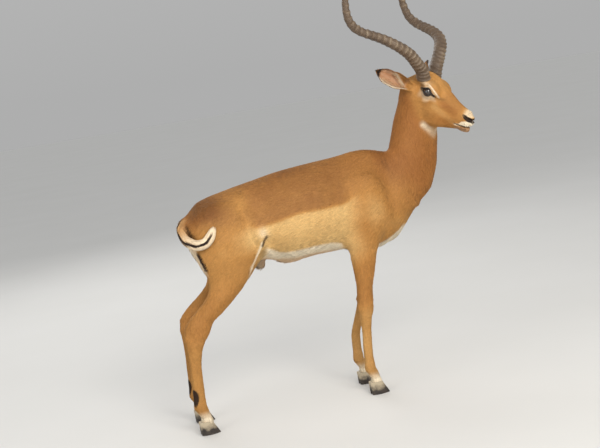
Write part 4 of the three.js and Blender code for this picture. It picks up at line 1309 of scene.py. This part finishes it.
def tube(line, across, out, wide, thick, sides, shape=None):
    """Closed tube with an oval section of half axes wide and thick at each point of the line."""
    angle = turns(sides)
    grow = np.ones((len(line), sides)) if shape is None else shape(angle)
    ring = (across[:, None] * (np.cos(angle)[:, None] * wide[:, None, None]) * grow[:, :, None]
            + out[:, None] * (np.sin(angle)[:, None] * thick[:, None, None]) * grow[:, :, None])
    return (line[:, None] + ring).reshape(-1, 3), tube_quads(len(line), sides), angle


def turns(count):
    """Angles evenly round a full turn."""
    return np.linspace(0, 2 * np.pi, count, endpoint=False)


def cap_ends(obj):
    """Closes the open ends of a tube and turns its faces outwards."""
    mesh = bmesh.new()
    mesh.from_mesh(obj.data)
    bmesh.ops.holes_fill(mesh, edges=[e for e in mesh.edges if e.is_boundary])
    bmesh.ops.triangulate(mesh, faces=[f for f in mesh.faces if len(f.verts) > 4])
    bmesh.ops.recalc_face_normals(mesh, faces=mesh.faces[:])
    for face in mesh.faces:
        face.smooth = True
    mesh.to_mesh(obj.data)
    mesh.free()


def give(obj, name, values):
    data = obj.data.attributes.new(name, "FLOAT", "POINT")
    data.data.foreach_set("value", np.asarray(values, np.float32))


# ------------------------------------------------------------------ horns
HORN_LINE = np.array([
    [-36, 36, 46], [-42, 46, 76], [-54, 72, 106], [-68, 99, 134], [-88, 128, 155], [-116, 151, 170],
    [-152, 165, 180], [-190, 174, 185], [-228, 182, 190], [-259, 185, 201], [-282, 185, 219],
    [-300, 182, 246], [-315, 176, 284], [-324, 167, 330], [-326, 154, 380], [-320, 139, 430],
    [-308, 126, 476]], float)
HORN_RADIUS = 23
RING_FIRST, RINGS_END, HORN_SMOOTH = 0.012, 0.8, 0.86      # parts of the way up the horn


def horn_material():
    material, tree = new_material("horn")
    height = attribute(tree, "height")
    cloud = noise(tree, object_place(tree), 22.0, 5.0)
    cells = node(tree, "ShaderNodeCombineXYZ", {0: value_of(tree, "MULTIPLY", attribute(tree, "round"), 34.0),
                                                1: value_of(tree, "MULTIPLY", height, 16.0)}).outputs[0]
    grain = noise(tree, cells, 3.0, 5.0, 0.65)
    # the ring crests are painted lighter, as highlights
    crest = value_of(tree, "MULTIPLY", attribute(tree, "crest"), 0.3)
    level = value_of(tree, "MULTIPLY_ADD", cloud, 0.45, value_of(tree, "MULTIPLY_ADD", grain, 0.45, crest))
    base = ramp(tree, level, (0.2, colour(50, 36, 27)), (0.55, colour(98, 80, 62)),
                (0.95, colour(160, 145, 122)))
    tip = value_of(tree, "MULTIPLY", value_of(tree, "SUBTRACT", height, 0.8), 3.0, clamp=True)
    dress(tree, mix(tree, tip, base, colour(38, 32, 29)), {"Roughness": 0.48}, (grain, 0.5, 0.002))
    return material


HORN_MATERIAL = horn_material()
# Rings: close together at the base, wider apart higher up
ring_at = [RING_FIRST]
while ring_at[-1] < RINGS_END:
    ring_at.append(ring_at[-1] + 0.021 + 0.031 * ring_at[-1])
ring_gaps = np.append(np.diff(ring_at), 0.03)


def make_horn(name, side):
    steps, sides = 760, 40
    u = np.linspace(0, 1, steps)
    line = from_head(spline(HORN_LINE, u) * [1, side, 1])
    _, across, out = frames(line, np.array([1.0, 0, 0]) @ AXES)
    taper = HORN_RADIUS * (1 - 0.78 * u ** 1.25) * np.clip((1 - u) / 0.03, 0.12, 1)
    swing = np.random.default_rng(3 if side > 0 else 4)

    def shape(angle):
        """Rings, strongest in front and a little uneven, and fine flutes between them."""
        grow = np.ones((steps, len(angle)))
        strength = 0.35 + 0.65 * (0.5 + 0.5 * np.sin(angle)) ** 0.8
        for at, gap in zip(ring_at, ring_gaps):
            height = (2.7 + swing.uniform(-0.6, 0.6)) * min(1, (HORN_SMOOTH - at) / 0.2 + 0.05)
            tilt = 0.006 * np.cos(angle - swing.uniform(-0.5, 0.5)) - 0.010 * np.sin(angle)
            wave = 0.002 * np.sin(3 * angle + swing.uniform(0, 6)) + tilt
            t = (u[:, None] - at - wave[None]) / gap
            crest = np.where(t < 0, np.exp(-(t / 0.3) ** 2), np.exp(-(t / 0.17) ** 2))
            grow += crest * strength[None] * height / np.maximum(taper[:, None], 4)
        flutes = 0.012 * np.sin(9 * angle + 3 * u[:, None]) + 0.008 * np.sin(17 * angle - 2 * u[:, None])
        return grow - 0.05 + flutes * np.clip((0.9 - u) / 0.3, 0, 1)[:, None]

    points, quads, angle = tube(line, across, out, taper * 0.92, taper * (1.12 - 0.12 * u), sides, shape)
    obj = mesh_of(f"ringed_{name}", points, quads)
    reach = np.linalg.norm(points.reshape(steps, sides, 3) - line[:, None], axis=2)
    # how far each point stands out on its ring, for the crests' painted highlight
    give(obj, "crest", np.clip((reach / np.maximum(taper[:, None], 2) - 0.95) * 3, 0, 1).ravel())
    give(obj, "height", np.repeat(u, sides))
    give(obj, "round", np.tile(np.abs(angle / np.pi - 1), steps))
    cap_ends(obj)
    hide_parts(name)
    finish_piece(obj, HORN_MATERIAL)


for name, side in SIDES.items():
    make_horn(f"horn_{name}", side)


# ------------------------------------------------------------------ eyes and lids
def eye_material():
    material, tree = new_material("eye")
    fibres = noise(tree, object_place(tree), 900.0, 3.0)
    radial = value_of(tree, "SUBTRACT", attribute(tree, "radial"), 0.06)
    iris = ramp(tree, value_of(tree, "MULTIPLY_ADD", fibres, 0.12, radial),
                (0.3, colour(44, 27, 18)), (0.72, colour(20, 14, 12)))
    dress(tree, mix(tree, attribute(tree, "pupil"), iris, colour(12, 12, 16)),
          {"Roughness": 0.12, "Coat Weight": 1.0, "Coat Roughness": 0.03})
    return material


def dark_skin_material():
    material, tree = new_material("dark_skin")
    grain = node(tree, "ShaderNodeTexVoronoi", {"Vector": object_place(tree), "Scale": 900.0}).outputs[0]
    dress(tree, ramp(tree, grain, (0, colour(20, 15, 14)), (1, colour(52, 42, 38))),
          {"Roughness": 0.38}, (grain, 0.3, 0.001))
    return material


EYE_MATERIAL = eye_material()
DARK_SKIN = dark_skin_material()


def make_eye(name, side):
    rows, sides = 40, 56
    polar = np.linspace(0.004, np.pi, rows)
    turn = turns(sides)
    sine, cosine = np.sin(polar)[:, None], np.cos(polar)[:, None]
    s, t = sine * np.cos(turn), sine * np.sin(turn)
    bulge = 1 + 0.045 * smooth(0.62, 0.2, sine) * (cosine > 0)
    radius = (EYE_RADIUS - 0.25) * bulge
    local = (s[..., None] * EYE_FORE + t[..., None] * EYE_UP + (cosine + 0 * s)[..., None] * EYE_OUT)
    h = (EYE_AT + local * radius[..., None]) * [1, side, 1]
    obj = mesh_of(f"eyeball_{name}", from_head(h).reshape(-1, 3), tube_quads(rows, sides))
    give(obj, "radial", np.arccos(np.clip(cosine + 0 * s, -1, 1)).ravel() / 1.1)
    pupil = smooth(1.1, 0.9, np.hypot(s / 0.34, t / 0.2)).ravel()
    give(obj, "pupil", pupil * (np.repeat(polar, sides) < 1.2))
    cap_ends(obj)
    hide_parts(f"eye_{name}")
    finish_piece(obj, EYE_MATERIAL)


def lid_edge(turn, reach):
    """Points of the lids' edge, by the angle round the opening, at a distance from the eye's centre."""
    s = EYE_HALF * np.cos(turn)
    top, low = lid_heights(s)
    t = np.where(np.sin(turn) > 0, top, low)
    out = np.sqrt(np.maximum(reach ** 2 - s * s - t * t, 4))
    return EYE_AT + s[:, None] * EYE_FORE + t[:, None] * EYE_UP + out[:, None] * EYE_OUT


def make_lids(name, side):
    """The dark rims of both lids, with the corner of the eye drawn out towards the nose."""
    count, sides = 96, 10
    turn = turns(count)
    line = lid_edge(turn, EYE_RADIUS + 0.9)
    along = unit(np.roll(line, -1, 0) - np.roll(line, 1, 0))
    out = unit(line - EYE_AT)
    across = np.cross(out, along)
    angle = turns(sides)
    thick = 1.25 + 0.5 * np.clip(np.sin(turn), 0, 1)
    ring = (across[:, None] * np.cos(angle)[:, None] * 1.9 + out[:, None] * np.sin(angle)[:, None]
            * thick[:, None, None])
    points = (line[:, None] + ring).reshape(-1, 3)
    a = np.arange(count * sides).reshape(count, sides)
    b = np.roll(a, -1, 0)
    quads = np.stack([a, b, np.roll(b, -1, 1), np.roll(a, -1, 1)], 2).reshape(-1, 4)
    knots = np.linspace(0, 1, 12)
    way = np.stack([EYE_HALF - 3 + 11 * knots, -1.5 - 3.5 * knots, 12.6 - 6.2 * knots], 1)
    corner = EYE_AT + way @ np.stack([EYE_FORE, EYE_UP, EYE_OUT])
    _, c_across, c_out = frames(corner, EYE_OUT)
    size = 2.3 * np.sin(np.pi * (0.12 + 0.86 * knots)) ** 0.7
    extra, more, _ = tube(corner, c_across, c_out, size, size * 0.7, sides)
    both = np.concatenate([points, extra])
    faces = np.concatenate([quads, more + len(points)])
    obj = mesh_of(f"lids_{name}", from_head(both * [1, side, 1]), faces)
    cap_ends(obj)
    finish_piece(obj, DARK_SKIN)


def make_lashes(name, side):
    """Lashes along the upper lid, closed blades like the tufts."""
    count, half = 46, 0.32
    turn = np.linspace(0.14, 0.86, count) * np.pi
    start = lid_edge(turn, EYE_RADIUS + 2.0)
    lean = unit(EYE_OUT * 0.7 + EYE_UP * 0.35 + np.cos(turn)[:, None] * EYE_FORE * 0.45)
    length = (8 + 4 * np.sin(turn))[:, None]
    sideways = np.cross(lean, EYE_UP) * half
    keel = start + lean * length * 0.6 - EYE_UP * 0.8 + EYE_UP * 0.25
    tip = start + lean * length - EYE_UP * 2.6
    points = np.stack([start - sideways, start + sideways, keel, tip], 1).reshape(-1, 3)
    obj = mesh_of(f"lashes_{name}", from_head(points * [1, side, 1]), all_faces(BLADE_FACES, 4, count))
    finish_piece(obj, DARK_SKIN)


for name, side in SIDES.items():
    make_eye(name, side)
    make_lids(name, side)
    make_lashes(name, side)


# ------------------------------------------------------------------ hooves
def hoof_material():
    material, tree = new_material("hoof")
    where = object_place(tree)
    rings = node(tree, "ShaderNodeTexWave", {"Vector": where, "Scale": 60.0, "Distortion": 2.5,
                                             "Detail": 3.0}, bands_direction="Z").outputs[1]
    cloud = noise(tree, where, 60.0, 5.0)
    horny = ramp(tree, value_of(tree, "MULTIPLY_ADD", rings, 0.25, cloud),
                 (0.3, colour(22, 18, 16)), (0.95, colour(70, 60, 52)))
    # the upper wall is painted pale, as a sunlit sheen on the dark horn; the lower part keeps the dark horn
    sunlit_height = value_of(tree, "MULTIPLY_ADD", value_of(tree, "SUBTRACT", cloud, 0.5), 0.8,
                    attribute(tree, "rise"))
    upper = node(tree, "ShaderNodeMapRange", {0: sunlit_height, 1: 0.35, 2: 0.8, 3: 0.0, 4: 0.85}).outputs[0]
    dress(tree, mix(tree, upper, horny, colour(186, 172, 146)), {"Roughness": 0.42},
          (value_of(tree, "MULTIPLY_ADD", rings, 0.5, cloud), 0.35, 0.001))
    return material


HOOF_MATERIAL = hoof_material()
# Half length and half width of a toe, its distance from the middle, lean and size at the top
HOOF_LENGTH, HOOF_WIDTH, HOOF_APART, HOOF_LEAN, HOOF_TOP = 33, 11, 10.5, 13, 0.66
CORONET_Z = 46
FOOT_X = {"fore": 292, "hind": -336}
HOOF_SINK, HOOF_GROUND = 0.3, 0.05  # gaps under the coronet and over the ground


def make_hoof(name, pair, side):
    """Two toes, each a stack of level rings from the sole to the coronet."""
    centre_x = FOOT_X[pair] + (LEFT_AHEAD[pair] if side > 0 else 0)
    levels = np.concatenate([[0, 0.015, 0.05], np.linspace(0.1, 0.92, 15), [0.97, 1.0, 1.0]])
    count = 44
    forward, outside = np.cos(turns(count)), np.sin(turns(count))
    point = 1 - 0.5 * np.maximum(forward, 0) ** 2
    heel = np.where(outside < 0, 1 + 0.25 * np.maximum(-forward, 0), 1)
    flat = np.where(outside < 0, 0.86, 1.0)
    toes = []
    for toe in (1, -1):
        for n, level in enumerate(levels):
            shrink = 1 - (1 - HOOF_TOP) * level ** 1.2 - (0.03 if n == 0 else 0)
            shrink += 0.035 * np.exp(-((level - 0.9) / 0.07) ** 2)
            if n == len(levels) - 1:
                shrink *= 0.55
            shrink = shrink + 0.006 * math.sin(26 * level)
            x = centre_x - HOOF_LEAN * level
            x = x + HOOF_LENGTH * shrink * np.sign(forward) * np.abs(forward) ** 0.92
            half = HOOF_WIDTH * outside * point * heel * flat * (1 + 0.1 * level)
            y = side * STANCE + toe * (HOOF_APART * (1 - 0.2 * level) + half)
            z = np.full(count, level * (CORONET_Z - HOOF_SINK)) + HOOF_GROUND
            toes.append(np.stack([x, y, z], 1))
    quads = tube_quads(len(levels), count)
    quads = np.concatenate([quads, quads + len(levels) * count])
    obj = mesh_of(f"cloven_{name}", np.concatenate(toes), quads)
    give(obj, "rise", np.tile(np.repeat(levels, count), 2))
    cap_ends(obj)
    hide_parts(name)
    finish_piece(obj, HOOF_MATERIAL)


for pair in LEGS:
    for name, side in SIDES.items():
        make_hoof(f"hoof_{pair}_{name}", pair, side)


# ------------------------------------------------------------------ long hair
PARTS_OF_WAY = np.array([0.0, 0.35, 0.7, 1.0])      # of a strand, its four sections
LINK_PAIRS = ((0, 2), (2, 1), (1, 0))
LOCK_FACES = [face for a in (0, 3, 6) for i, j in LINK_PAIRS
              for face in ([a + i, a + 3 + i, a + 3 + j], [a + i, a + 3 + j, a + j])]
LOCK_FACES += [[0, 2, 1], [9, 10, 11]]
LOCK_SPOTS = np.stack([np.tile([-1, 1, 0], 4), np.repeat(np.arange(4) * 0.8 - 1, 3)], 1) * 0.0012


def locks(name, path, out, width, coat):
    """Long hair as closed tapering strands of three links, each along its own path of four points."""
    count = len(path)
    side = np.cross(out, path[:, -1] - path[:, 0])
    side /= np.maximum(np.linalg.norm(side, axis=1, keepdims=True), 1e-6)
    rows = []
    for n, part in enumerate((0.5, 0.55, 0.38, 0.05)):
        half = width * part
        rows += [path[:, n] - side * half, path[:, n] + side * half, path[:, n] + out * half * 0.8]
    # each strand's own random lightness, darker at its root as painted shade
    shade = np.clip(rng.normal(0.5, 0.12, count), 0.1, 0.95)[:, None] + np.repeat([-0.1, 0, 0.06, 0.1], 3)
    hair_piece(name, np.stack(rows, 1), LOCK_FACES, out, coat, shade, chart_of(path[:, 0])[1],
               LOCK_SPOTS)


def bent(root, direction, out, length, curl):
    """Paths that leave along a direction and bend back towards the body."""
    t = PARTS_OF_WAY[None, :, None]
    far = length[:, None, None]
    return root[:, None] + direction[:, None] * far * t - out[:, None] * far * curl * t * t


def plain_coat(count, **values):
    """A coat of the same colours everywhere, but for those given as one value for each strand."""
    return {key: np.broadcast_to(np.asarray(values.get(key, 0.0), float), count) for key in COLOURS}


def leg_roots(pair, side, z, angle):
    """Points of the skin round a lower leg, by the angle from straight ahead towards the outside,
    and the directions out of it."""
    cx, cy, depth, width = LEGS[pair](z)
    ahead, outside = np.cos(angle), np.sin(angle)
    at = np.stack([cx + ahead * (depth - COAT), cy + outside * (width - COAT) + STANCE, z], 1)
    at[:, 0] += leg_ahead(pair, side, z)
    at[:, 1] *= side
    return at, unit(np.stack([ahead / depth, side * outside / width, 0 * z], 1))


TAIL_HAIRS, GLAND_HAIRS, CORONET_HAIRS, EAR_HAIRS = 4200, 240, 300, 190


def make_tail_hair():
    """Hair that follows the tail's curve all round it, with the dark line along one side."""
    count = TAIL_HAIRS
    way = 0.06 + 0.9 * np.sort(rng.random(count)) ** 0.85
    turn = rng.uniform(-np.pi, np.pi, count)
    depth = rng.uniform(0.66, 0.95, count)
    length = np.interp(way, [0, 0.25, 0.6, 1], [26, 34, 40, 26]) * rng.uniform(0.75, 1.1, count)
    rows = []
    for t in PARTS_OF_WAY:
        at = np.minimum(way + length * t / TAIL_LENGTH, TAIL_HAIR_END)
        centre, _, across, facing = tail_frame(at)
        part = (depth + 0.1 * t) * TAIL_SHAPE(at)[0] * (1 - 0.6 * smooth(1.0, TAIL_HAIR_END, at))
        rows.append(centre + across * (np.cos(turn) * part)[:, None]
                    + facing * (np.sin(turn) * part * 0.6)[:, None])
    path = np.stack(rows, 1)
    _, _, across, facing = tail_frame(way)
    out = unit(across * np.cos(turn)[:, None] * 0.6 + facing * np.sin(turn)[:, None])
    half_on = way + length * 0.35 / TAIL_LENGTH
    off = (path[:, 0] + path[:, 2]) / 2 - tail_frame(half_on)[0]
    white, line = tail_colours(half_on, (off * across).sum(1), (off * facing).sum(1))
    locks("tail_hair", path, out, 1.9, plain_coat(count, tone=0.5, white=white * 0.92, black=line))


def make_gland_hair():
    """Black brushes above the hind fetlocks."""
    count = GLAND_HAIRS
    for name, side in SIDES.items():
        z = GLAND_Z + 1 + 25 * rng.uniform(-1, 1, count)
        span = np.sqrt(1 - ((z - GLAND_Z - 1) / GLAND_HALF) ** 2)
        angle = np.pi - (GLAND_ANGLE + 0.95 * rng.uniform(-1, 1, count) * span)
        at, out = leg_roots("hind", side, z, angle)
        length = rng.uniform(11, 17, count)
        locks(f"gland_hair_{name}", bent(at, unit(out * 0.3 + [0, 0, -1.0]), out, length, 0.12), out, 1.7,
              plain_coat(count, tone=0.8, black=0.96))


def make_coronet_hair():
    """Pale fringe of each pastern over the top of its hoof."""
    count = CORONET_HAIRS
    for pair in LEGS:
        for name, side in SIDES.items():
            z = rng.uniform(CORONET_Z, CORONET_Z + 16, count)
            at, out = leg_roots(pair, side, z, rng.uniform(-np.pi, np.pi, count))
            path = bent(at, unit(out * 0.38 + [0.12, 0, -1.0]), out, rng.uniform(11, 17, count), 0.1)
            locks(f"coronet_hair_{pair}_{name}", path, out, 1.5, plain_coat(count, tone=0.2, white=0.9))


def make_ear_hair():
    """Long pale hairs across the hollow of each ear, from its lower edge, its fold and its base."""
    count = EAR_HAIRS
    for name, side in SIDES.items():
        u = rng.uniform(0.12, 0.72, count)
        turn = rng.uniform(0.35, 0.85, count)
        on_fold = rng.random(count) < 0.4
        u = np.where(on_fold, 0.08 + 0.7 * u, u)
        turn = np.where(on_fold, turn * 0.3 - ear_fold(u, 0.12), turn)
        spine, across, face, roll, radius, shift = ear_section(u)
        along, = read_rows(u, EAR_U, EAR_ALONG)
        arc = (turn * roll)[:, None]
        inner = (radius - 2.0 - fold_height(u, turn))[:, None]
        centre = spine + across * shift[:, None] + face * EAR_SINK * radius[:, None]
        at = centre + (across * np.sin(arc) - face * np.cos(arc)) * inner
        out = unit(centre - at)
        lean = np.where(on_fold, 0.4, -0.25)[:, None]
        direction = unit(along + out * 0.3 + across * lean + rng.normal(0, 0.1, (count, 3)))
        length = rng.uniform(8, 18, count) * np.where(on_fold, 0.7, 1)
        mirror = [1, side, 1]
        path = from_head(bent(at, direction, out, length, 0.1) * mirror)
        locks(f"ear_hair_{name}", path, (out * mirror) @ AXES, 0.5, plain_coat(count, tone=0.3, white=0.45))


make_tail_hair()
make_gland_hair()
make_coronet_hair()
make_ear_hair()

# ------------------------------------------------------------------ floor, light and camera
FLOOR_HALF = 3e4
corners = np.array([[-1, -1, 0], [1, -1, 0], [1, 1, 0], [-1, 1, 0]]) * FLOOR_HALF
floor = mesh_of("floor", corners, np.array([[0, 1, 2, 3]]))
floor_material, tree = new_material("floor")
dress(tree, ramp(tree, noise(tree, object_place(tree), 1.5, 4.0),
                 (0, colour(208, 208, 206)), (1, colour(214, 214, 213))), {"Roughness": 0.9})
floor.data.materials.append(floor_material)


def lamp(name, at, target, size, energy, tint):
    """A round soft light."""
    data = bpy.data.lights.new(name, "AREA")
    data.shape = "DISK"
    data.size = size
    data.energy = energy
    data.color = tint
    obj = show(name, data)
    obj.location = at
    obj.rotation_euler = (Vector(target) - Vector(at)).to_track_quat("-Z", "Y").to_euler()


lamp("key", (0.2, -4.2, 3.0), (0, 0, 0.7), 2.6, 168, (1.0, 0.95, 0.87))
lamp("fill", (-3.8, -2.0, 1.8), (0, 0, 0.6), 3.0, 40, (1.0, 0.97, 0.92))
lamp("bounce", (-0.5, -3.4, 0.9), (0, 0, 0.5), 1.4, 15, (1.0, 0.94, 0.86))
lamp("back", (-0.5, 3.5, 3.2), (0, 0, 0.8), 3.0, 60, (1.0, 0.98, 0.95))
bpy.context.scene.view_settings.view_transform = "Standard"
world = bpy.data.worlds.new("studio")
world.use_nodes = True
tree = world.node_tree
place_in_sky = node(tree, "ShaderNodeTexCoord").outputs["Generated"]
height = node(tree, "ShaderNodeSeparateXYZ", {0: place_in_sky}).outputs[2]
# the light of the sky grows from the horizon, 0.43, to overhead, 0.74
strength = node(tree, "ShaderNodeMapRange", {0: height, 1: 0.0, 2: 1.0, 3: 0.43, 4: 0.74}).outputs[0]
tree.nodes["Background"].inputs["Color"].default_value = (0.985, 0.987, 0.985, 1)
tree.links.new(strength, tree.nodes["Background"].inputs["Strength"])
bpy.context.scene.world = world

# The camera that was solved from the photo: turned from square to the animal's side, looking down
# and rolled, in degrees
CAMERA_AT = Vector((-1.152, -3.994, 1.214))
CAMERA_TURN, CAMERA_DOWN, CAMERA_ROLL = (math.radians(v) for v in (15, 7.86, 9.06))
LENS, SENSOR = 70.56, 36            # millimetres
ahead = Vector((math.sin(CAMERA_TURN), math.cos(CAMERA_TURN), 0))
right = Vector((math.cos(CAMERA_TURN), -math.sin(CAMERA_TURN), 0))
z_axis = Vector((0, 0, 1))
look = ahead * math.cos(CAMERA_DOWN) - z_axis * math.sin(CAMERA_DOWN)
up = z_axis * math.cos(CAMERA_DOWN) + ahead * math.sin(CAMERA_DOWN)
right, up = (right * math.cos(CAMERA_ROLL) - up * math.sin(CAMERA_ROLL),
             up * math.cos(CAMERA_ROLL) + right * math.sin(CAMERA_ROLL))
camera_data = bpy.data.cameras.new("camera")
camera_data.lens = LENS
camera_data.sensor_width = SENSOR
camera_data.sensor_fit = "HORIZONTAL"
camera = show("camera", camera_data)
rows = [[right[i], up[i], -look[i], CAMERA_AT[i]] for i in range(3)] + [[0, 0, 0, 1]]
camera.matrix_world = Matrix(rows)
bpy.context.scene.camera = camera
